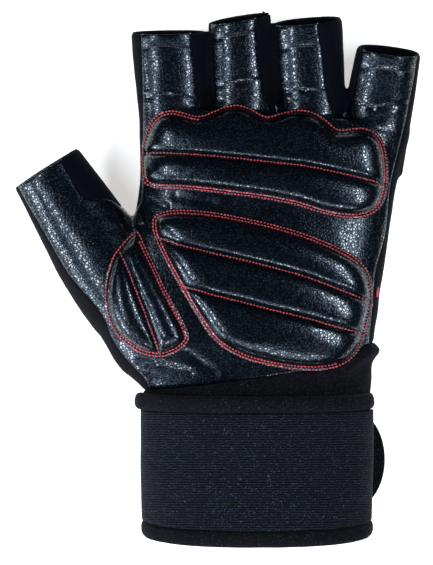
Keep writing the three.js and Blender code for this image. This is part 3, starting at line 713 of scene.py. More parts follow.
class Surface:
    """A material made of nodes, added one by one."""

    def __init__(self, name):
        self.material = bpy.data.materials.new(name)
        self.material.use_nodes = True
        self.tree = self.material.node_tree
        self.tree.nodes.clear()
        self.shader = self.tree.nodes.new("ShaderNodeBsdfPrincipled")
        output = self.tree.nodes.new("ShaderNodeOutputMaterial")
        self.tree.links.new(self.shader.outputs[0], output.inputs[0])

    def fill(self, socket, value):
        if isinstance(value, Socket):
            self.tree.links.new(value.output, socket)
        elif hasattr(socket.default_value, "__len__") and len(socket.default_value) == 4 and len(value) == 3:
            socket.default_value = (*value, 1)
        else:
            socket.default_value = value

    def node(self, kind, settings=None, inputs=None, output=0):
        made = self.tree.nodes.new(kind)
        for key, value in (settings or {}).items():
            setattr(made, key, value)
        pairs = inputs.items() if isinstance(inputs, dict) else enumerate(inputs or [])
        for key, value in pairs:
            self.fill(made.inputs[key], value)
        return Socket(self, made.outputs[output])

    def place(self, scale=1.0, kind="Object"):
        """The places on the piece, in metres times a scale."""
        coordinates = self.node("ShaderNodeTexCoord", output=kind)
        return self.node("ShaderNodeMapping", {}, {"Vector": coordinates, "Scale": (scale, scale, scale)})

    def noise(self, vector, scale, detail=2.0, output=0, **more):
        inputs = {"Vector": vector, "Scale": scale, "Detail": detail, **more}
        return self.node("ShaderNodeTexNoise", {}, inputs, output)

    def cells(self, vector, scale, feature="F1", **more):
        """Distances in a pattern of cells: from their centres, or from their edges."""
        inputs = {"Vector": vector, "Scale": scale, **more}
        return self.node("ShaderNodeTexVoronoi", {"feature": feature}, inputs, "Distance")

    def bands(self, vector, direction, pitch, distortion, detail_scale):
        """Soft bands across one direction, with their pitch in metres."""
        settings = {"wave_type": "BANDS", "bands_direction": direction, "wave_profile": "SIN"}
        inputs = {
            "Vector": vector,
            "Scale": math.tau / 20 / pitch,
            "Distortion": distortion,
            "Detail": 1.0,
            "Detail Scale": detail_scale,
        }
        return self.node("ShaderNodeTexWave", settings, inputs, 1)

    def mix(self, factor, first, second):
        made = self.tree.nodes.new("ShaderNodeMix")
        made.data_type = "RGBA"
        self.fill(made.inputs[0], factor)
        self.fill(made.inputs[6], first)
        self.fill(made.inputs[7], second)
        return Socket(self, made.outputs[2])

    def bump(self, height, distance):
        return self.node("ShaderNodeBump", {}, {"Height": height, "Distance": distance, "Strength": 1.0})

    def shape(self, **values):
        """Set the shader's inputs, whose names have underscores for spaces here."""
        for key, value in values.items():
            self.fill(self.shader.inputs[key.replace("_", " ")], value)


def rgb(colour, scale=1.0):
    return tuple(min(1.0, channel * scale) for channel in colour)


# The leather's pebbles: how many to a metre, how far they are shifted out of order in metres, and
# how they are drawn out where the leather is gathered
PEBBLES = 880.0
PEBBLE_DRIFT = 0.0009
GATHERED_STRETCH = (0.55, 1.75, 1.0)


def leather_material(name, colour, roughness, grain):
    """Pebbled leather: domes with creases between them, drawn out sideways where it is gathered. Painted
    shade darkens the base colour in the creases.
    """
    s = Surface(name)
    base = s.place()
    drift = s.noise(base, 330.0, output="Color")
    moved = s.node("ShaderNodeVectorMath", {"operation": "MULTIPLY_ADD"}, [drift, (PEBBLE_DRIFT,) * 3, base])
    drawn = s.node("ShaderNodeVectorMath", {"operation": "MULTIPLY"}, [moved, GATHERED_STRETCH])
    gathered = s.node("ShaderNodeAttribute", {"attribute_name": "gathered"}, {}, "Fac")

    def pebbles(vector):
        domes = s.cells(vector, PEBBLES)
        edges = s.cells(vector, PEBBLES, "DISTANCE_TO_EDGE")
        return 1 - domes * domes * 1.5, edges.clamped(0.08, 0.3)

    round_domes, round_creases = pebbles(moved)
    long_domes, long_creases = pebbles(drawn)
    creases = round_creases * (1 - gathered) + long_creases * gathered
    domes = round_domes * (1 - gathered) + long_domes * gathered * 1.5
    fine = s.noise(base, 4800.0)
    uneven = s.noise(base, 300.0)
    broad = s.noise(base, 70.0, 3.0)
    spots = s.noise(base, 1100.0, 1.0)
    height = domes * 0.6 + creases * 0.3 + fine * 0.05 + uneven * 0.8
    top = s.mix(broad.clamped(0.35, 0.7), rgb(colour), rgb(colour, 1.6))
    s.shape(
        # Painted shade: the base colour falls to 0.4 of the leather's colour in the creases between the
        # pebbles.
        Base_Color=s.mix(creases, rgb(colour, 0.4), top),
        Roughness=roughness + 0.08 * broad,
        Normal=s.bump(height, grain * MM),
        Specular_IOR_Level=0.2,
        Specular_Tint=(0.6, 0.8, 1.0, 1),
        Coat_Weight=creases * (0.16 + 0.84 * spots.clamped(0.42, 0.58)),
        Coat_Roughness=0.17,
        Coat_IOR=1.95,
        Coat_Tint=(0.8, 0.92, 1.0, 1),
    )
    return s.material


def knit_material(name, colour, pitch):
    """Fine knitted cloth, in columns of small loops."""
    s = Surface(name)
    base = s.place(1.0 / pitch)
    drift = s.noise(base, 0.35)
    loops = s.cells(base, 1.0, Randomness=0.35)
    fuzz = s.noise(base, 3.0, 3.0)
    height = (1 - loops) * 0.8 + fuzz * 0.35
    s.shape(
        Base_Color=s.mix(loops.clamped(0.15, 0.7), rgb(colour, 1.35), rgb(colour, 0.6)),
        Roughness=0.85 + 0.08 * drift,
        Normal=s.bump(height, 0.45 * pitch),
        Specular_IOR_Level=0.06,
        Sheen_Weight=0.01,
        Sheen_Roughness=0.5,
    )
    return s.material


def elastic_material(name, colour, pitch):
    """Elastic webbing: ribs along the wrist, crossed by fine rubber threads. Its colour carries painted
    light on the ribs and painted shade between them.
    """
    s = Surface(name)
    uv = s.place(kind="UV")
    ribs = s.bands(uv, "Y", pitch, 0.9, 1.5)
    threads = s.bands(uv, "X", 0.62 * pitch, 0.4, 3.0)
    fuzz = s.noise(s.place(), 1900.0)
    patches = s.noise(s.place(), 60.0)
    height = ribs * 0.6 + ribs * threads * 0.5 + fuzz * 0.2
    ridges = (ribs * (0.5 + 0.5 * threads)).clamped(0.25, 0.65)
    # Painted light and shade: the ribs' crests are painted at 2.2 times the elastic's colour and the grooves
    # between them at 0.04.
    shaded_ribs = s.mix(ridges, rgb(colour, 0.04), rgb(colour, 2.2))
    s.shape(
        Base_Color=s.mix(fuzz.clamped(0.6, 0.72), shaded_ribs, (0.05, 0.06, 0.085)),
        Roughness=0.78 + 0.12 * patches,
        Normal=s.bump(height, 0.3 * pitch),
        Specular_IOR_Level=0.1,
        Sheen_Weight=0.01,
        Sheen_Roughness=0.5,
    )
    return s.material


NAP_SCALE = 1700.0


def plush_material(name, colour):
    """Brushed cloth with a short soft nap."""
    s = Surface(name)
    base = s.place()
    nap = s.noise(base, NAP_SCALE, 4.0, Roughness=0.65)
    tufts = s.noise(base, NAP_SCALE / 6)
    pile = s.mix(nap.clamped(0.3, 0.6), rgb(colour, 0.3), rgb(colour, 1.2))
    s.shape(
        Base_Color=s.mix(nap.clamped(0.56, 0.72), pile, rgb(colour, 20)),
        Roughness=0.92 + 0.05 * tufts,
        Normal=s.bump(nap * 0.7 + tufts * 0.6, 0.3 * MM),
        Specular_IOR_Level=0.1,
        Sheen_Weight=0.01,
        Sheen_Roughness=0.55,
    )
    return s.material


def thread_material(name, colour):
    """Twisted sewing thread."""
    s = Surface(name)
    base = s.place()
    twist = s.noise(base, 6000.0)
    worn = s.noise(base, 300.0)
    s.shape(
        Base_Color=s.mix(worn.clamped(0.35, 0.7), rgb(colour, 0.7), rgb(colour, 1.25)),
        Roughness=0.5 + 0.15 * worn,
        Normal=s.bump(twist, 0.08 * MM),
        Sheen_Weight=0.3,
    )
    return s.material


MADE = {}


def material(name):
    """One of the glove's materials, made when it is first asked for."""
    if name not in MADE:
        colours = bpy.context.scene.glove_colours
        sizes = bpy.context.scene.glove_sizes
        makers = {
            "palm_leather": lambda: leather_material("palm_leather", colours.leather, 0.19, 0.085),
            "pad_leather": lambda: leather_material("pad_leather", colours.leather, 0.18, 0.07),
            "back_cloth": lambda: knit_material("back_cloth", colours.cloth, 0.55 * MM),
            "side_cloth": lambda: knit_material("side_cloth", colours.side, 0.5 * MM),
            "elastic": lambda: elastic_material("elastic", colours.elastic, sizes.rib_pitch),
            "plush": lambda: plush_material("plush", colours.plush),
            "thread": lambda: thread_material("thread", colours.thread),
            "dark_thread": lambda: thread_material("dark_thread", rgb(colours.cloth, 1.6)),
        }
        MADE[name] = makers[name]()
    return MADE[name]


# The hand's skin

SHARED = {}

# Points round each section and the number of sections along the palm, a stall and the thumb
PALM_SIDES = 64
PALM_RINGS = 40
STALL_SIDES = 48
STALL_RINGS = 16
THUMB_RINGS = 20
# How far a stall runs past its opening before it is cut open, in mm
STALL_SPARE = 7
SKIN_SMOOTHING = 10
PAD_BED_SMOOTHING = 30

# Soft waves of the skin: height in mm, scale and seed. They fade out where the hand rests on the
# floor, between these two heights.
SKIN_WAVES = ((0.16, 85, 1), (0.08, 240, 2))
RESTING = (0.5 * MM, 4 * MM)
# A crease has a lip on each side: its height as a share of the crease's depth, and how far from
# the crease it stands, in crease widths.
CREASE_LIP = 0.15
CREASE_LIP_AT = 1.8
# Depth of the furrow along a hem, in mm
HEM_DEPTH = 0.32

# The blocks that cut the stalls open, and the slope of the thumb's opening in degrees. At 0.5 and
# 0.9 mm of spare width the exact boolean failed.
BLADE_SPARE = 1.2 * MM
BLADE_DEPTH = 20 * MM
BLADE_HEIGHT = 40 * MM
THUMB_MOUTH = 2
# The seams run at one height round the palm, climb along the fingers from just past the knuckles,
# and the side strips reach further down.
SEAM_HEIGHT = 15.5 * MM
SEAM_CLIMB = 4.5 * MM
STRIP_DROP = 7 * MM
PAST_KNUCKLES = 2
# Room of the cutters round the hand, in metres
CUTTER_FLOOR = -0.01
CUTTER_TOP = 0.08
HALF_TOP = 0.09
HALF_WIDTH = 0.12
HALF_FOOT = 0.02
FINGER_REACH = 0.045
WRIST_FLOOR = -0.02
# The two material slots of a piece while it is cut
SKIN, CUT = 0, 1

# Edges turned in at the seams: how far from the edge it starts, and how deep it goes
PALM_TUCK = (1.3 * MM, 0.45 * MM)
CLOTH_TUCK = (1.8 * MM, 0.75 * MM)

# Clean-up after the cuts: points closer than WELD are joined, and groups of faces are dropped
# as crumbs when they are smaller than both values.
WELD = 0.02 * MM
SLIVER = 0.01 * MM
CRUMB_FACES = 60
CRUMB_SHARE = 0.04


def hand_form(fineness):
    """The palm, the stalls and the thumb as one smooth closed skin."""
    palm_places = np.linspace(PALM_SECTIONS[0][0], 1, PALM_RINGS)
    parts = [loft("body", [palm_section(at).ring(PALM_SIDES) for at in palm_places])]
    for row in FINGERS:
        finger = finger_row(row)
        places = np.linspace(-STALL_OVERLAP, finger["length"] * PALM_LENGTH + STALL_SPARE, STALL_RINGS)
        parts.append(loft("stall", [finger_section(finger, d).ring(STALL_SIDES) for d in places]))
    thumb_places = np.linspace(THUMB_LENGTH, -STALL_SPARE, THUMB_RINGS)
    parts.append(loft("thumb", [thumb_section(d).ring(STALL_SIDES) for d in thumb_places]))
    calm()
    for part in parts:
        part.select_set(True)
    bpy.context.view_layer.objects.active = parts[0]
    bpy.ops.object.join()
    body = named("body")
    apply(body, "REMESH", mode="VOXEL", voxel_size=fineness, adaptivity=0.0)
    return apply(body, "SMOOTH", factor=0.5, iterations=SKIN_SMOOTHING)


def hand_body(fineness):
    """The hand's skin with its folds pressed in; a smoother copy is kept as the bed of the pads."""
    body = hand_form(fineness)
    SHARED["body"] = copy_of(body, "body_for_pads")
    SHARED["body"].hide_render = True
    apply(SHARED["body"], "SMOOTH", factor=0.5, iterations=PAD_BED_SMOOTHING)
    take(body)
    points, normals = points_of(body), normals_of(body)
    on_plan = np.column_stack(to_plan(points[:, 0], points[:, 1]))
    facing = smoothstep(normals[:, 2], 0.0, 0.5)
    resting = 1 - smoothstep(points[:, 2], *RESTING)
    lift = waves(points, SKIN_WAVES)
    lift *= 1 - resting
    for row in CREASES:
        crease = dict(zip(CREASE_COLUMNS, row))
        near = distances(on_plan, ((crease["x1"], crease["y1"]), (crease["x2"], crease["y2"]))) * STEP_MM
        away = near / crease["width"]
        lip = CREASE_LIP * np.exp(-((away - CREASE_LIP_AT) ** 2))
        lift += facing * crease["depth"] * (lip - np.exp(-(away**2)))
    for hem in HEMS:
        near = distances(on_plan, hem) * STEP_MM
        lift -= facing * HEM_DEPTH * np.exp(-(near**2))
    set_points(body, points + normals * lift[:, None] * MM)
    return body


def gather(obj):
    """Mark where the leather is gathered, for its material."""
    points = points_of(obj)
    on_plan = np.column_stack(to_plan(points[:, 0], points[:, 1]))
    mask = np.zeros(len(points))
    for row in GATHERS:
        zone = dict(zip(GATHER_COLUMNS, row))
        near = distances(on_plan, ((zone["x1"], zone["y1"]), (zone["x2"], zone["y2"])))
        mask = np.maximum(mask, 1 - smoothstep(near, 0.6 * zone["width"], 1.4 * zone["width"]))
    attribute = obj.data.attributes.new("gathered", "FLOAT", "POINT")
    attribute.data.foreach_set("value", mask)


def blade(section, forward):
    """A block beyond a section, which cuts a stall's opening."""
    calm()
    bpy.ops.mesh.primitive_cube_add(size=1)
    obj = named("blade")
    up = section.across.cross(forward)
    turn = Matrix((section.across, forward, up)).transposed()
    size = Vector((2 * section.half_width + BLADE_SPARE, BLADE_DEPTH, BLADE_HEIGHT))
    for vertex in obj.data.vertices:
        local = Vector(vertex.co)
        local.y += 0.5
        vertex.co = section.centre + turn @ Vector([a * b for a, b in zip(local, size)])
    obj.data.update()
    return obj


def mouth(section, slope):
    """The direction that an opening faces, with its slope in degrees."""
    level = Vector((0, 0, 1)).cross(section.across).normalized()
    slope = math.radians(slope)
    return (level * math.cos(slope) + Vector((0, 0, math.sin(slope)))).normalized()


def marked(obj, index):
    """Give all faces one of the two material slots, SKIN or CUT."""
    obj.data.materials.clear()
    for slot_name in ("skin", "cut"):
        obj.data.materials.append(SHARED[slot_name])
    for face in obj.data.polygons:
        face.material_index = index
    return obj


def islands(mesh):
    """The groups of faces that hang together."""
    mesh.faces.ensure_lookup_table()
    seen = set()
    groups = []
    for face in mesh.faces:
        if face.index in seen:
            continue
        stack, group = [face], []
        seen.add(face.index)
        while stack:
            here = stack.pop()
            group.append(here)
            for other in (other for edge in here.edges for other in edge.link_faces):
                if other.index not in seen:
                    seen.add(other.index)
                    stack.append(other)
        groups.append(group)
    return groups


def skin_only(obj):
    """Drop the faces left by cutters, and the crumbs of skin beside the real pieces."""
    take(obj)
    mesh = bmesh.new()
    mesh.from_mesh(obj.data)
    slots = [slot.name for slot in obj.data.materials]
    left = [face for face in mesh.faces if slots[face.material_index].startswith("cut")]
    bmesh.ops.delete(mesh, geom=left, context="FACES")
    bmesh.ops.remove_doubles(mesh, verts=mesh.verts, dist=WELD)
    bmesh.ops.dissolve_degenerate(mesh, edges=mesh.edges, dist=SLIVER)
    groups = islands(mesh)
    crumb = max(CRUMB_FACES, CRUMB_SHARE * max(len(group) for group in groups))
    keep = {face.index for group in groups if len(group) > crumb for face in group}
    bmesh.ops.delete(mesh, geom=[face for face in mesh.faces if face.index not in keep], context="FACES")
    bmesh.ops.triangulate(mesh, faces=[face for face in mesh.faces if len(face.verts) > 4])
    mesh.to_mesh(obj.data)
    mesh.free()
    obj.data.update()
    return obj


def tucked(obj, reach, depth):
    """Turn the edge of an open piece inwards, as at a sewn seam."""
    mesh = bmesh.new()
    mesh.from_mesh(obj.data)
    rim = [vertex.co.copy() for edge in mesh.edges if edge.is_boundary for vertex in edge.verts]
    if not rim:
        raise RuntimeError(obj.name + " has no edge to turn in")
    tree = KDTree(len(rim))
    for i, point in enumerate(rim):
        tree.insert(point, i)
    tree.balance()
    mesh.normal_update()
    moves = []
    for vertex in mesh.verts:
        _, _, away = tree.find(vertex.co)
        if away < reach:
            fall = 1 - away / reach
            move = vertex.normal * -depth * fall * fall
            # Nothing moves past the openings, which face away from the wrist.
            move.y = min(move.y, 0.0)
            moves.append((vertex, move))
    for vertex, move in moves:
        vertex.co += move
    mesh.to_mesh(obj.data)
    mesh.free()
    obj.data.update()
    return obj


def finished(obj, name, tuck, thickness):
    """Clean a cut piece, turn its edges in and give it its wall."""
    skin_only(obj)
    tucked(obj, *tuck)
    apply(obj, "SOLIDIFY", thickness=thickness, offset=-1, use_rim=True, use_even_offset=False)
    obj.name = obj.data.name = name
    return obj


def upper_half(low):
    """A solid above the hand's middle, which climbs with the fingers."""
    foot = DATUM.y - HALF_FOOT
    knuckles = DATUM.y + (KNUCKLE_LINE + PAST_KNUCKLES) * MM
    tips = knuckles + FINGER_REACH
    profile = [(foot, low), (knuckles, low), (tips, low + SEAM_CLIMB), (tips, HALF_TOP), (foot, HALF_TOP)]
    left, right = DATUM.x - HALF_WIDTH, DATUM.x + HALF_WIDTH
    return extruded("upper_half", [(left, y, z) for y, z in profile], (right - left, 0, 0))


def plan_cutter(outline, low):
    """The room above the middle of the hand, inside a plan outline."""
    cutter = prism("cutter", [plan(p.x, p.y) for p in outline], CUTTER_FLOOR, CUTTER_TOP)
    half = upper_half(low)
    cut(cutter, half, "INTERSECT")
    discard(half)
    return marked(cutter, CUT)


def opened(body, section, slope):
    """Cut one stall open at a section."""
    edge = marked(blade(section, mouth(section, slope)), CUT)
    cut(body, edge, "DIFFERENCE")
    discard(edge)


def panel(name, body, outline, low, lap):
    """Cut one piece out of the skin. What stays of the skin runs under the piece by a lap."""
    found = copy_of(body, name)
    inner = plan_cutter(outline, low)
    outer = plan_cutter(offset(outline, -lap / PLAN_STEP), low + lap)
    cut(found, inner, "INTERSECT")
    cut(body, outer, "DIFFERENCE")
    discard(inner, outer)
    return found


SIDE_STRIPS = (
    ("fourchette_index_middle", ((174, 119), (174, -20), (238, -20), (242, 119))),
    ("fourchette_middle_ring", ((242, 119), (238, -20), (300, -20), (306, 119))),
    ("fourchette_ring_little", ((306, 126), (303, -20), (393, 0), (378, 126))),
    (
        "thumb_gusset",
        ((96, 214), (47, 178), (30, 150), (70, 110), (90, 140), (112, 190), (126, 204), (118, 212)),
    ),
)
# The corners of what is cut off beyond the wrist edge, on the plan
BEYOND_WRIST = ((395, 480), (120, 480))


class GLOVE_OT_hand(bpy.types.Operator):
    """Model the palm leather, the back cloth and the strips between the fingers"""

    bl_idname = "glove.hand"
    bl_label = "Hand"

    def execute(self, context):
        sizes = context.scene.glove_sizes
        body = hand_body(sizes.fineness)
        for name in ("skin", "cut"):
            SHARED[name] = bpy.data.materials.new(name)
        marked(body, SKIN)
        for row in FINGERS:
            finger = finger_row(row)
            opened(body, finger_section(finger, finger["length"] * PALM_LENGTH), finger["mouth"])
        opened(body, thumb_section(0), THUMB_MOUTH)

        palm = panel("palm_leather", body, rounded(PALM_SEAM), SEAM_HEIGHT, sizes.seam_lap)
        strips = []
        for name, corners in SIDE_STRIPS:
            strips.append(panel(name, body, rounded(corners, 1), SEAM_HEIGHT - STRIP_DROP, sizes.seam_lap))

        below = rounded(WRIST_EDGE, 2, False) + [Vector(corner) for corner in BEYOND_WRIST]
        edge = marked(prism("edge", [plan(p.x, p.y) for p in below], WRIST_FLOOR, CUTTER_TOP), CUT)
        cut(palm, edge, "DIFFERENCE")
        cut(body, edge, "DIFFERENCE")
        discard(edge)

        finished(palm, "palm_leather_panel", PALM_TUCK, sizes.leather)
        finished(body, "hand_back_cloth", CLOTH_TUCK, sizes.cloth)
        gather(palm)
        shade(palm, material("palm_leather"))
        shade(body, material("back_cloth"))
        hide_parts("palm_leather")
        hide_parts("hand_back")
        for strip, (name, _) in zip(strips, SIDE_STRIPS):
            finished(strip, name + "_strip", CLOTH_TUCK, sizes.cloth)
            shade(strip, material("side_cloth"))
            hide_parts(name)
        return {"FINISHED"}


# Pads

# The pads' grid, in plan steps: the distance of its points, the room round the outline, and how
# far the rim reaches past the stitches. A point outside the rim, but nearer to it than a share of
# the distance, is drawn in.
PAD_SPACING = 1.6
PAD_MARGIN = 4
RIM_REACH = 2.6
DRAWN_IN = 0.75
PAD_SMOOTHING = 3

# A cushion's swell, in mm from its stitches: where it starts and how far it takes to its full
# height, at the outline and at a channel. CHANNEL_FLOOR is the share of the height left there.
OUTLINE_SWELL = (1.5, 9.5)
CHANNEL_SWELL = (0.25, 8.5)
SWELL_POWER = 2.6
CHANNEL_FLOOR = 0.22

# Unevenness of the pads, in mm. Small puckers stand along the stitches and fade away from them.
# Soft waves have a height, a scale and what is added to the pad's seed. The rim has a share of both.
PUCKER_HEIGHT = 0.13
PUCKER_SCALE = 0.55
PUCKER_AT = 1.6
PUCKER_FADE = 1.8
SOFT_WAVES = ((0.12, 0.09, 5), (0.04, 0.3, 9))
RIM_SHARE = 0.2

# Grooves along the stitches, in mm: depth and width at the outline and at a channel
OUTLINE_GROOVE = (0.5, 0.5)
CHANNEL_GROOVE = (0.7, 0.6)
# The rim's edge turns down by a share of its height over a distance in mm, and the pad's wall is
# a little thicker than the rim is high.
RIM_TURN = 0.75
RIM_TURN_REACH = 0.7
RIM_WALL = 1.2

# A cushion stands out between straight up and square to the skin: the share of the skin's slope
# that it takes, and the least upward part of its direction.
LEAN_SHARE = 0.6
UPRIGHT = 0.45
# Plumb lines start at this height in metres. Where the skin is steeper than STEEPEST, the point
# nearest to a share of the palm's depth takes the place of the plumb line's.
PLUMB_START = 0.1
STEEPEST = 0.2
NEAREST_FROM = 0.7


def tree_of(obj):
    """A search tree over the faces of an object."""
    points = [vertex.co.copy() for vertex in obj.data.vertices]
    return BVHTree.FromPolygons(points, [tuple(face.vertices) for face in obj.data.polygons])


def skin_tree():
    if "tree" not in SHARED:
        SHARED["tree"] = tree_of(SHARED["body"])
    return SHARED["tree"]


def drop(tree, x, y):
    """Where a plumb line over a plan point meets the skin, and the skin's direction there."""
    hit, normal, _, _ = tree.ray_cast(plan(x, y, PLUMB_START), Vector((0, 0, -1)))
    if hit is None or normal.z < STEEPEST:
        hit, normal, _, _ = tree.find_nearest(plan(x, y, NEAREST_FROM * PALM_DEPTH * MM))
    return hit, normal


def nearest_on(ring, point):
    """The point of a closed plan outline that is nearest to a point."""
    best, found = math.inf, point
    for i in range(len(ring)):
        a, b = ring[i - 1], ring[i]
        span = b - a
        t = np.clip(((point - a) @ span) / max(span @ span, 1e-9), 0, 1)
        here = a + t * span
        away = np.linalg.norm(point - here)
        if away < best:
            best, found = away, here
    return found


def pad_grid(name, edge, rim_edge):
    """A flat grid cut to a pad's rim, and the plan points of its corners."""
    lows = [min(p[i] for p in edge) - PAD_MARGIN for i in (0, 1)]
    highs = [max(p[i] for p in edge) + PAD_MARGIN for i in (0, 1)]
    size = [b - a for a, b in zip(lows, highs)]
    counts = [max(4, round(s / PAD_SPACING)) for s in size]
    calm()
    bpy.ops.mesh.primitive_grid_add(x_subdivisions=counts[0], y_subdivisions=counts[1], size=1)
    pad = named(name)
    flat = points_of(pad)
    on_plan = np.column_stack(
        (lows[0] + (flat[:, 0] + 0.5) * size[0], lows[1] + (0.5 - flat[:, 1]) * size[1])
    )
    kept = inside(on_plan, rim_edge)
    keep = kept | (distances(on_plan, rim_edge, True) < PAD_SPACING * DRAWN_IN)
    mesh = bmesh.new()
    mesh.from_mesh(pad.data)
    mesh.verts.ensure_lookup_table()
    bmesh.ops.delete(mesh, geom=[mesh.verts[i] for i in np.nonzero(~keep)[0].tolist()], context="VERTS")
    mesh.to_mesh(pad.data)
    mesh.free()
    on_plan = on_plan[keep]
    # Points just outside are drawn in to the rim's edge, so that the outline is smooth.
    ring = np.array(rim_edge)
    for i in np.nonzero(~kept[keep])[0]:
        on_plan[i] = nearest_on(ring, on_plan[i])
    return pad, on_plan


def swelling(away, start, reach):
    """From 0 at a stitched line to 1 at a distance from it, round as a filled cushion is."""
    t = np.clip((away - start) / reach, 0, 1)
    return np.sqrt(1 - (1 - t) ** SWELL_POWER)


def groove(away, depth, width):
    return depth * MM * np.exp(-((away / width) ** 2))


def pad_lift(on_plan, edge, rim_edge, channels, height, rim, seed):
    """How high each plan point of a pad stands over the skin."""
    corners = [(p.x, p.y) for p in edge]
    stitched = distances(on_plan, corners, True) * STEP_MM
    within = inside(on_plan, corners)
    depth_in = np.where(within, stitched, -stitched)
    full = np.ones(len(on_plan))
    near = np.full(len(on_plan), 99.0)
    for channel in channels:
        away = distances(on_plan, rounded(channel, 2, False)) * STEP_MM
        near = np.minimum(near, away)
        full = np.minimum(full, swelling(away, *CHANNEL_SWELL))
    full = swelling(depth_in, *OUTLINE_SWELL) * (CHANNEL_FLOOR + (1 - CHANNEL_FLOOR) * full)
    places = np.column_stack((on_plan * STEP_MM, np.zeros(len(on_plan))))
    pucker = PUCKER_HEIGHT * noise_at(places, PUCKER_SCALE, seed)
    pucker *= np.exp(-np.minimum(np.abs(depth_in - PUCKER_AT), near) / PUCKER_FADE)
    soft = waves(places, [(wave, scale, seed + more) for wave, scale, more in SOFT_WAVES])
    uneven = (pucker + soft * full) * MM * np.where(within, 1, RIM_SHARE)
    lift = rim + (height - rim) * full + uneven
    # The stitch lines are drawn down into the leather.
    lift -= groove(stitched, *OUTLINE_GROOVE) + groove(near, *CHANNEL_GROOVE) * within
    outer = distances(on_plan, rim_edge, True) * STEP_MM
    lift -= rim * RIM_TURN * (1 - np.clip(outer / RIM_TURN_REACH, 0, 1)) ** 2
    return lift


def cushion(name, outline, channels, height, rim, seed):
    """A quilted pad: cushions that swell between a flat stitched rim and the stitched channels."""
    edge = rounded(outline, 2)
    rim_edge = [(p.x, p.y) for p in offset(edge, RIM_REACH)]
    pad, on_plan = pad_grid(name, edge, rim_edge)
    lift = pad_lift(on_plan, edge, rim_edge, channels, height, rim, seed)
    tree = skin_tree()
    placed = []
    for (x, y), up in zip(on_plan, lift):
        hit, normal = drop(tree, x, y)
        way = Vector((normal.x * LEAN_SHARE, normal.y * LEAN_SHARE, max(normal.z, UPRIGHT))).normalized()
        placed.append(hit + way * up)
    set_points(pad, placed)
    outward(pad)
    if pad.data.polygons[len(pad.data.polygons) // 2].normal.z < 0:
        bpy.ops.object.mode_set(mode="EDIT")
        bpy.ops.mesh.select_all(action="SELECT")
        bpy.ops.mesh.flip_normals()
        bpy.ops.object.mode_set(mode="OBJECT")
    apply(pad, "SMOOTH", factor=0.5, iterations=PAD_SMOOTHING)
    apply(pad, "SOLIDIFY", thickness=rim * RIM_WALL, offset=-1, use_rim=True)
    apply(pad, "SUBSURF", levels=1, render_levels=1)
    return pad


# Pads: name, outline, channels, the stretches of the second row of stitches as shares of its
# length, and seed
PADS = (
    ("upper_pad", UPPER_OUTLINE, (UPPER_CHANNEL,), ((0.44, 0.96), (0.03, 0.12)), 3),
    ("heel_pad", HEEL_OUTLINE, HEEL_CHANNELS, ((0.0, 0.36), (0.56, 1.0)), 4),
    ("thumb_pad", THUMB_OUTLINE, (THUMB_CHANNEL,), ((0.02, 0.62),), 5),
)


class GLOVE_OT_pads(bpy.types.Operator):
    """Model the three quilted pads of the palm"""

    bl_idname = "glove.pads"
    bl_label = "Pads"

    def execute(self, context):
        sizes = context.scene.glove_sizes
        for name, outline, channels, _, seed in PADS:
            pad = cushion(name + "_cushion", outline, channels, sizes.pad_height, sizes.pad_rim, seed)
            shade(pad, material("pad_leather"))
            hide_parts(name)
            SHARED[name] = pad
        return {"FINISHED"}


# Stitches

# A stitch: its share of the pitch, how high its middle stands over the surface, and how far it
# strays across its row in plan steps, in its direction in radians and in its size
STITCH_SHARE = 0.82
STITCH_LIFT = 0.1 * MM
STRAY = 0.12
STRAY_TURN = 0.12
STRAY_SIZE = (0.92, 1.08)
# The second row of a pad's stitches runs this far inside the first, in plan steps.
SECOND_ROW = 3.0
# Points left out at each end of a channel's or a hem's row
ROW_END = 3

# Hem stitches, and the bar tack at the outer side seam with its place on the plan
HEM_THREAD = 0.4 * MM
HEM_PITCH = 1.25 * MM
HEM_LIFT = -0.1 * MM
TACK_THREAD = 0.6 * MM
TACK_PITCH = 1.1 * MM
TACK_LIFT = 0.25 * MM
TACK_LEFT, TACK_RIGHT = 377.5, 382
TACK_SLANT = 0.4
TACK_FIRST_ROW = 288
TACK_ROWS = 6
TACK_ROW_GAP = 1.6


def stitch_template(thread, length):
    """One stitch: a short pillow of thread along X, its ends sunk."""
    calm()
    bpy.ops.mesh.primitive_uv_sphere_add(segments=6, ring_count=5, radius=0.5)
    obj = named("stitch")
    for vertex in obj.data.vertices:
        x, y, z = vertex.co.z, vertex.co.x, vertex.co.y
        bow = 1 - (2 * x) ** 4
        girth = thread * (0.7 + 0.5 * bow)
        vertex.co = (x * length, y * girth, z * girth + thread * (0.35 * bow - 0.15))
    obj.data.update()
    return obj


def sewn(name, rows, tree, thread, pitch, material_name, seed, lift=STITCH_LIFT):
    """Rows of stitches laid on the surface under their plan paths, joined into one piece."""
    random.seed(seed)
    template = stitch_template(thread, pitch * STITCH_SHARE)
    shape = points_of(template)
    faces = [tuple(p.vertices) for p in template.data.polygons]
    points, polygons = [], []
    for at, way in (place for path, closed in rows for place in spaced(path, pitch / PLAN_STEP, closed)):
        middle = at + Vector((way.y, -way.x)) * random.uniform(-STRAY, STRAY)
        ends = []
        for share in (-0.5, 0.5):
            spot = middle + way * share * pitch / PLAN_STEP
            ends.append(drop(tree, spot.x, spot.y)[0])
        hit, normal = drop(tree, middle.x, middle.y)
        along = (ends[1] - ends[0]).normalized()
        up = (normal - along * normal.dot(along)).normalized()
        across = up.cross(along)
        turn = random.uniform(-STRAY_TURN, STRAY_TURN)
        turned = along * math.cos(turn) + across * math.sin(turn)
        across = across * math.cos(turn) - along * math.sin(turn)
        start = len(points)
        size = random.uniform(*STRAY_SIZE)
        points.extend((shape * size) @ np.array([turned, across, up]) + np.array(hit + up * lift))
        polygons.extend(tuple(i + start for i in face) for face in faces)
    discard(template)
    obj = outward(linked(name, [tuple(p) for p in points], polygons))
    return shade(obj, material(material_name))


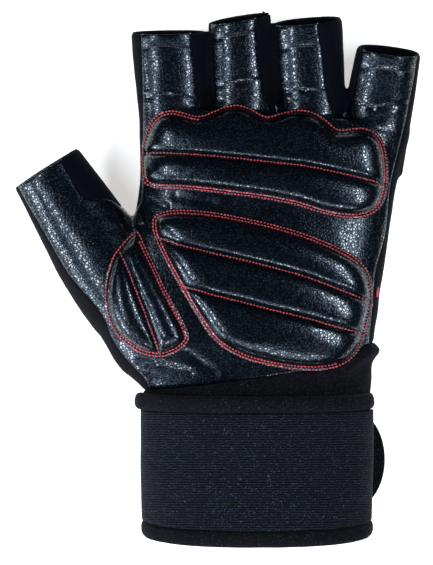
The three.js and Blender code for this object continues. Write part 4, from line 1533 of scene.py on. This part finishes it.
def stretch(path, start, end):
    """The part of a closed path from one share of its length to another."""
    points = spaced(path, 1.0, True)
    count = len(points)
    return [points[i % count][0] for i in range(round(start * count), round(end * count) + 1)]


def open_rows(paths):
    """Rows of stitches along open paths, without the paths' ends."""
    return [(rounded(path, 2, False)[ROW_END:-ROW_END], False) for path in paths]


class GLOVE_OT_stitching(bpy.types.Operator):
    """Sew the pads and the hems with rows of thread"""

    bl_idname = "glove.stitching"
    bl_label = "Stitching"

    def execute(self, context):
        sizes = context.scene.glove_sizes
        for name, outline, channels, stretches, seed in PADS:
            edge = rounded(outline, 2)
            second = offset(edge, -SECOND_ROW)
            rows = [(edge, True)]
            rows += [(stretch(second, start, end), False) for start, end in stretches]
            rows += open_rows(channels)
            tree = tree_of(SHARED[name])
            piece = name + "_stitches"
            sewn(piece, rows, tree, sizes.thread, sizes.stitch_pitch, "thread", seed)
        hems = open_rows(HEMS)
        tree = skin_tree()
        sewn("hem_stitches", hems, tree, HEM_THREAD, HEM_PITCH, "dark_thread", 6, HEM_LIFT)
        heights = [TACK_FIRST_ROW + row * TACK_ROW_GAP for row in range(TACK_ROWS)]
        tack = [(((TACK_LEFT, y), (TACK_RIGHT, y + TACK_SLANT)), False) for y in heights]
        sewn("side_bar_tack", tack, tree, TACK_THREAD, TACK_PITCH, "thread", 7, TACK_LIFT)
        return {"FINISHED"}


# The wrist

WRIST_SQUARENESS = 2.3
# The wrap's ends from its lower edge, and how far its crest droops to the arm at each, in mm
BAND_ARM_END = 11.7
BAND_HAND_END = 55.1
DROOP_ARM = 5
DROOP_HAND = 1.6
# How much narrower each side of the wrap is at the arm
BAND_TAPER = 0.4 * MM

# The wrap: points round it and rings along it, its wall, how far it bellies out in the middle,
# and the height of its waves in mm
BAND_SIDES = 180
BAND_STEPS = 34
BAND_WALL = 2.6 * MM
BAND_BELLY = 0.35 * MM
BAND_WAVE = 0.35

# A binding: points round it and rings over it, its height along the arm, how far its edges roll
# in, its distance from the wrap's end, and its wall, which follows the roll by a share
BINDING_SIDES = 160
BINDING_POINTS = 9
BINDING_HEIGHT = 6.4 * MM
BINDING_ROLL = 2.0 * MM
BINDING_GAP = 0.3 * MM
BINDING_WALL = 1.2 * MM
BINDING_FOLLOW = 1.2
# The bindings' waves in mm, broad and fine, and how far the broad ones lean along the arm
BINDING_WAVE = 0.45
BINDING_FINE_WAVE = 0.18
BINDING_LEAN = 0.4
# Lowest height of a binding over the floor
BINDING_FLOOR = 0.2 * MM

CUFF_SIDES = 180
CUFF_STEPS = 26
# The cuff's lower edge on the plan
CUFF_FOOT = 398
# In mm: how far the cuff runs under the leather, the place and reach of its bump below the seam,
# the bump's height in front and what the outer side adds to it, and what the cuff falls back by
# under the leather and at the outer side near the arm
CUFF_LAP = 3.6
CUFF_BUMP_AT = -3.4
CUFF_BUMP_REACH = 2.8
CUFF_BUMP = 0.6
CUFF_SIDE_BUMP = 1.9
CUFF_FALL = 2.2
CUFF_SIDE_FALL = 1.6
CUFF_WALL = 1.8
CUFF_WAVE = 0.4
# The cuff's crest as a share of the palm's depth, and what it rises by towards the arm, in mm
CUFF_CREST = 0.93
CUFF_FLARE = 1.4


def wrist_section(centre, half_width, y, floor, crest):
    return Section(
        Vector((centre, y, (floor + crest) / 2)),
        Vector((1, 0, 0)),
        Vector((0, 0, 1)),
        half_width,
        (crest - floor) / 2,
        WRIST_SQUARENESS,
    )


def drooped(section, sides, inset, droop):
    """A section's ring, whose crest reaches further towards the arm."""
    found = []
    for point in section.ring(sides, inset):
        height = min(1, max(0, (point.z - section.centre.z) / section.half_depth))
        found.append(Vector((point.x, point.y - droop * height, point.z)))
    return found


def ring_noise(angle, scale, along):
    """Smooth unevenness round a ring, from the angle and a place along the tube."""
    return noise.noise(Vector((math.cos(angle) * scale, math.sin(angle) * scale, along)))


def tube(name, outer, inner):
    """A closed wall between an outer and an inner row of rings, joined at both ends."""
    obj = loft(name, outer + inner[::-1], capped=False)
    take(obj)
    bpy.ops.object.mode_set(mode="EDIT")
    bpy.ops.mesh.select_mode(type="EDGE")
    bpy.ops.mesh.select_all(action="DESELECT")
    bpy.ops.mesh.select_non_manifold()
    bpy.ops.mesh.bridge_edge_loops()
    bpy.ops.object.mode_set(mode="OBJECT")
    return outward(obj)


def wrap_section(t, proud=0.0, shift=0.0):
    """The elastic band's section at a share of its length from the arm."""
    y_arm, y_hand = HEM_LOW.y + BAND_ARM_END * MM, HEM_LOW.y + BAND_HAND_END * MM
    return wrist_section(
        DATUM.x + shift,
        (BAND_HIGH.x - BAND_LOW.x) / 2 + proud - BAND_TAPER * (1 - t),
        y_arm + (y_hand - y_arm) * t,
        max(0.0, BAND_LOW.z - max(proud, 0)),
        BAND_HIGH.z + proud,
    )


def droop_at(t):
    return (DROOP_ARM + (DROOP_HAND - DROOP_ARM) * t) * MM


def uv_round(obj, rings):
    """Lay out a tube's map in metres: round the wrist along U, along the arm on V."""
    layer = obj.data.uv_layers[0]
    ring = rings[len(rings) // 2]
    runs = [0.0]
    for a, b in zip(ring, ring[1:]):
        runs.append(runs[-1] + (b - a).length)
    around = runs[-1] + (ring[0] - ring[-1]).length
    centre = sum(ring, Vector()) / len(ring)
    half_width = max(p.x for p in ring) - centre.x
    half_depth = max(p.z for p in ring) - centre.z

    def angle_of(p):
        return math.atan2((p.z - centre.z) / half_depth, (p.x - centre.x) / half_width) % math.tau

    angles = [angle_of(p) for p in ring]
    order = np.argsort(angles)
    known = np.array(angles)[order]
    lengths = np.array(runs)[order]
    for face in obj.data.polygons:
        values = []
        for loop in face.loop_indices:
            p = obj.data.vertices[obj.data.loops[loop].vertex_index].co
            values.append([float(np.interp(angle_of(p), known, lengths)), p.y])
        us = [v[0] for v in values]
        if max(us) - min(us) > around / 2:
            for v in values:
                if v[0] < around / 2:
                    v[0] += around
        for loop, value in zip(face.loop_indices, values):
            layer.data[loop].uv = value


class GLOVE_OT_band(bpy.types.Operator):
    """Model the ribbed elastic wrap"""

    bl_idname = "glove.band"
    bl_label = "Wrist band"

    def execute(self, context):
        outer, inner = [], []
        for i in range(BAND_STEPS + 1):
            t = i / BAND_STEPS
            section = wrap_section(t, BAND_BELLY * math.sin(math.pi * t))
            ring = drooped(section, BAND_SIDES, 0.0, droop_at(t))
            for k, point in enumerate(ring):
                angle = math.tau * k / BAND_SIDES
                wave = ring_noise(angle, 2.2, t * 2.5 + 4)
                ring[k] = point + Vector((math.cos(angle), 0, math.sin(angle))) * wave * BAND_WAVE * MM
                ring[k].z = max(ring[k].z, BAND_LOW.z * 0.8)
            outer.append(ring)
            inner.append(drooped(section, BAND_SIDES, BAND_WALL, droop_at(t)))
        band = tube("wrist_band_elastic", outer, inner)
        uv_round(band, outer)
        shade(band, material("elastic"))
        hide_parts("wrist_band")
        return {"FINISHED"}


def bound_edge(name, t, proud, shift, seed):
    """A soft folded binding along one end of the wrap."""
    away = -1 if t == 0 else 1
    outer, inner = [], []
    for i in range(BINDING_POINTS):
        angle = math.pi * i / (BINDING_POINTS - 1)
        out = BINDING_HEIGHT * (0.5 - 0.5 * math.cos(angle))
        stand = proud - BINDING_ROLL * (1 - math.sin(angle) ** 0.8)
        section = wrap_section(t, stand, shift)
        section.centre.y += away * (BINDING_GAP + out)
        ring = drooped(section, BINDING_SIDES, 0.0, droop_at(t))
        for k, point in enumerate(ring):
            angle = math.tau * k / BINDING_SIDES
            wave = ring_noise(angle, 5, seed + out * 90)
            fine = ring_noise(angle, 22, seed + out * 300)
            way = Vector((math.cos(angle), BINDING_LEAN * wave, math.sin(angle)))
            ring[k] = point + way * (BINDING_WAVE * wave + BINDING_FINE_WAVE * fine) * MM
            ring[k].z = max(ring[k].z, BINDING_FLOOR)
        outer.append(ring)
        thickness = BINDING_WALL + (BINDING_ROLL + stand - proud) * BINDING_FOLLOW
        inner.append(drooped(section, BINDING_SIDES, thickness, droop_at(t)))
    return shade(tube(name, outer, inner), material("plush"))


class GLOVE_OT_bindings(bpy.types.Operator):
    """Model the soft bound edges of the wrap"""

    bl_idname = "glove.bindings"
    bl_label = "Bindings"

    def execute(self, context):
        top = bound_edge("band_top_binding_plush", 1, 1.7 * MM, -1 * MM, 3.0)
        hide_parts("band_top_binding")
        bottom = bound_edge("band_bottom_binding_plush", 0, 0.3 * MM, 0.0, 8.0)
        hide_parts("band_bottom_binding")
        return {"FINISHED"}


def cuff_rings(t, edge, hand):
    """The cuff's outer and inner ring at a share of its length from the arm."""
    foot = plan(0, CUFF_FOOT).y
    crest = (PALM_DEPTH * CUFF_CREST + CUFF_FLARE * (1 - t)) * MM
    section = wrist_section(hand.centre.x, hand.half_width, 0, 0.0, crest)
    outer, inner = [], []
    for k in range(CUFF_SIDES):
        angle = math.tau * k / CUFF_SIDES
        wave = ring_noise(angle, 4, t * 3 + 11)
        side = smoothstep(math.cos(angle), 0.3, 1.0)
        at = section.point(angle)
        seam = plan(0, np.interp(to_plan(at.x, at.y)[0], edge[:, 0], edge[:, 1])).y
        top = seam + CUFF_LAP * MM
        beyond = (foot + (top - foot) * t - seam) / MM
        bump = math.exp(-(((beyond - CUFF_BUMP_AT) / CUFF_BUMP_REACH) ** 2))
        bump *= CUFF_BUMP + CUFF_SIDE_BUMP * side
        fall = CUFF_FALL * smoothstep(beyond, -0.8, 0.8)
        side_fall = CUFF_SIDE_FALL * side * (1 - t) ** 1.5
        out = (bump - fall - side_fall + wave * CUFF_WAVE) * MM
        for ring, inset in ((outer, -out), (inner, CUFF_WALL * MM - out)):
            point = section.point(angle, inset)
            point.y = foot + (top - foot) * t + wave * CUFF_WAVE * MM
            point.z = max(point.z, 0.1 * MM)
            ring.append(point)
    return outer, inner


class GLOVE_OT_cuff(bpy.types.Operator):
    """Model the soft cuff between the wrap and the palm leather"""

    bl_idname = "glove.cuff"
    bl_label = "Cuff"

    def execute(self, context):
        edge = np.array([[p.x, p.y] for p in rounded(WRIST_EDGE, 2, False)])
        hand = palm_section(0.0)
        rings = [cuff_rings(i / CUFF_STEPS, edge, hand) for i in range(CUFF_STEPS + 1)]
        cuff = tube("cuff_plush", [outer for outer, _ in rings], [inner for _, inner in rings])
        shade(cuff, material("plush"))
        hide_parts("cuff")
        return {"FINISHED"}


# The tab's round end: its depth, the points on it, and the rounding of its edges
TAB_END = 12 * MM
TAB_POINTS = 24
TAB_ROUNDING = 0.7 * MM


class GLOVE_OT_tab(bpy.types.Operator):
    """Model the round end of the wrap under the band"""

    bl_idname = "glove.tab"
    bl_label = "Closure tab"

    def execute(self, context):
        low, high = TAB_LOW, TAB_HIGH
        half = (high.y - low.y) / 2
        middle = (low.y + high.y) / 2
        turn = high.x - TAB_END
        outline = [Vector((low.x, middle - half, 0)), Vector((turn, middle - half, 0))]
        for k in range(1, TAB_POINTS):
            angle = -math.pi / 2 + math.pi * k / TAB_POINTS
            outline.append(Vector((turn + TAB_END * math.cos(angle), middle + half * math.sin(angle), 0)))
        outline += [Vector((turn, middle + half, 0)), Vector((low.x, middle + half, 0))]
        tab = prism("closure_tab_strap", outline, 0.0, high.z - low.z)
        apply(tab, "BEVEL", width=TAB_ROUNDING, segments=3, limit_method="ANGLE")
        shade(tab, material("plush"))
        take(tab)
        bpy.ops.object.shade_smooth_by_angle(angle=math.radians(40))
        calm()
        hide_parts("closure_tab")
        return {"FINISHED"}


# The stage

# Lights: name, place, size and power. All of them point at LIGHT_AIM.
LIGHTS = (
    ("wrist_light", (0.0, -1.15, 0.95), (1.2, 0.4), 12),
    ("left_light", (-0.75, -0.05, 1.1), (1.1, 0.26), 11),
    ("right_light", (0.72, 0.05, 1.1), (1.1, 0.27), 14.5),
    ("low_light", (-1.1, -0.7, 0.5), (0.9, 0.5), 21),
)
LIGHT_AIM = (0, 0, 0.02)
LIGHT_COLOUR = (0.83, 0.91, 1.0)
WORLD_COLOUR = (0.9, 0.95, 1.0, 1)
WORLD_STRENGTH = 0.05
FLOOR_SIZE = 6
FLOOR_HEIGHT = -0.0005
FLOOR_GLOW = 0.6
CAMERA_DISTANCE = 5.0
CAMERA_AIM_HEIGHT = 0.02
SENSOR_HEIGHT = 36


def soft_light(name, place, size, power):
    bpy.ops.object.light_add(type="AREA", location=place)
    light = bpy.context.object
    light.name = name
    light.data.shape = "RECTANGLE"
    light.data.size, light.data.size_y = size
    light.data.energy = power
    light.data.color = LIGHT_COLOUR
    light.rotation_euler = (Vector(LIGHT_AIM) - Vector(place)).to_track_quat("-Z", "Y").to_euler()


class GLOVE_OT_stage(bpy.types.Operator):
    """Set the floor, the lights and the camera"""

    bl_idname = "glove.stage"
    bl_label = "Stage"

    def execute(self, context):
        scene = context.scene
        calm()
        bpy.ops.mesh.primitive_plane_add(size=FLOOR_SIZE, location=(0, 0, FLOOR_HEIGHT))
        floor = named("floor")
        s = Surface("floor")
        s.shape(
            Base_Color=scene.glove_colours.floor,
            Roughness=0.9,
            Specular_IOR_Level=0.1,
            Emission_Color=(1.0, 0.98, 0.95),
            Emission_Strength=FLOOR_GLOW,
        )
        floor.data.materials.append(s.material)
        scene.world = bpy.data.worlds.new("studio")
        scene.world.use_nodes = True
        background = scene.world.node_tree.nodes["Background"]
        background.inputs[0].default_value = WORLD_COLOUR
        background.inputs[1].default_value = WORLD_STRENGTH
        scene.view_settings.view_transform = "Standard"
        for light in LIGHTS:
            soft_light(*light)
        centre = plan(PLAN_SIZE[0] / 2, PLAN_SIZE[1] / 2)
        place = (centre.x, centre.y, CAMERA_DISTANCE + CAMERA_AIM_HEIGHT)
        bpy.ops.object.camera_add(location=place, rotation=(0, 0, 0))
        camera = bpy.context.object
        camera.data.sensor_fit = "VERTICAL"
        camera.data.sensor_height = SENSOR_HEIGHT
        camera.data.lens = SENSOR_HEIGHT * CAMERA_DISTANCE / (PLAN_SIZE[1] * PLAN_STEP)
        camera.data.clip_end = 20
        scene.camera = camera
        calm()
        return {"FINISHED"}


class GLOVE_PT_panel(bpy.types.Panel):
    """Lists the steps and sizes of the glove"""

    bl_idname = "GLOVE_PT_panel"
    bl_label = "Weightlifting glove"
    bl_space_type = "VIEW_3D"
    bl_region_type = "UI"
    bl_category = "Glove"

    def draw(self, context):
        for step in STEPS:
            self.layout.operator(step.bl_idname)
        for group in (context.scene.glove_sizes, context.scene.glove_colours):
            for name in group.bl_rna.properties.keys():
                if name not in ("rna_type", "name"):
                    self.layout.prop(group, name)


STEPS = (
    GLOVE_OT_stage,
    GLOVE_OT_hand,
    GLOVE_OT_pads,
    GLOVE_OT_stitching,
    GLOVE_OT_cuff,
    GLOVE_OT_band,
    GLOVE_OT_bindings,
    GLOVE_OT_tab,
)
CLASSES = (GloveSizes, GloveColours, *STEPS, GLOVE_PT_panel)


def register():
    for cls in CLASSES:
        bpy.utils.register_class(cls)
    bpy.types.Scene.glove_sizes = bpy.props.PointerProperty(type=GloveSizes)
    bpy.types.Scene.glove_colours = bpy.props.PointerProperty(type=GloveColours)


def unregister():
    del bpy.types.Scene.glove_sizes
    del bpy.types.Scene.glove_colours
    for cls in reversed(CLASSES):
        bpy.utils.unregister_class(cls)


def main():
    register()
    for step in STEPS:
        group, name = step.bl_idname.split(".")
        getattr(getattr(bpy.ops, group), name)()
    discard(SHARED.pop("body"))
    for name in ("skin", "cut"):
        bpy.data.materials.remove(SHARED.pop(name))


if __name__ == "__main__":
    main()
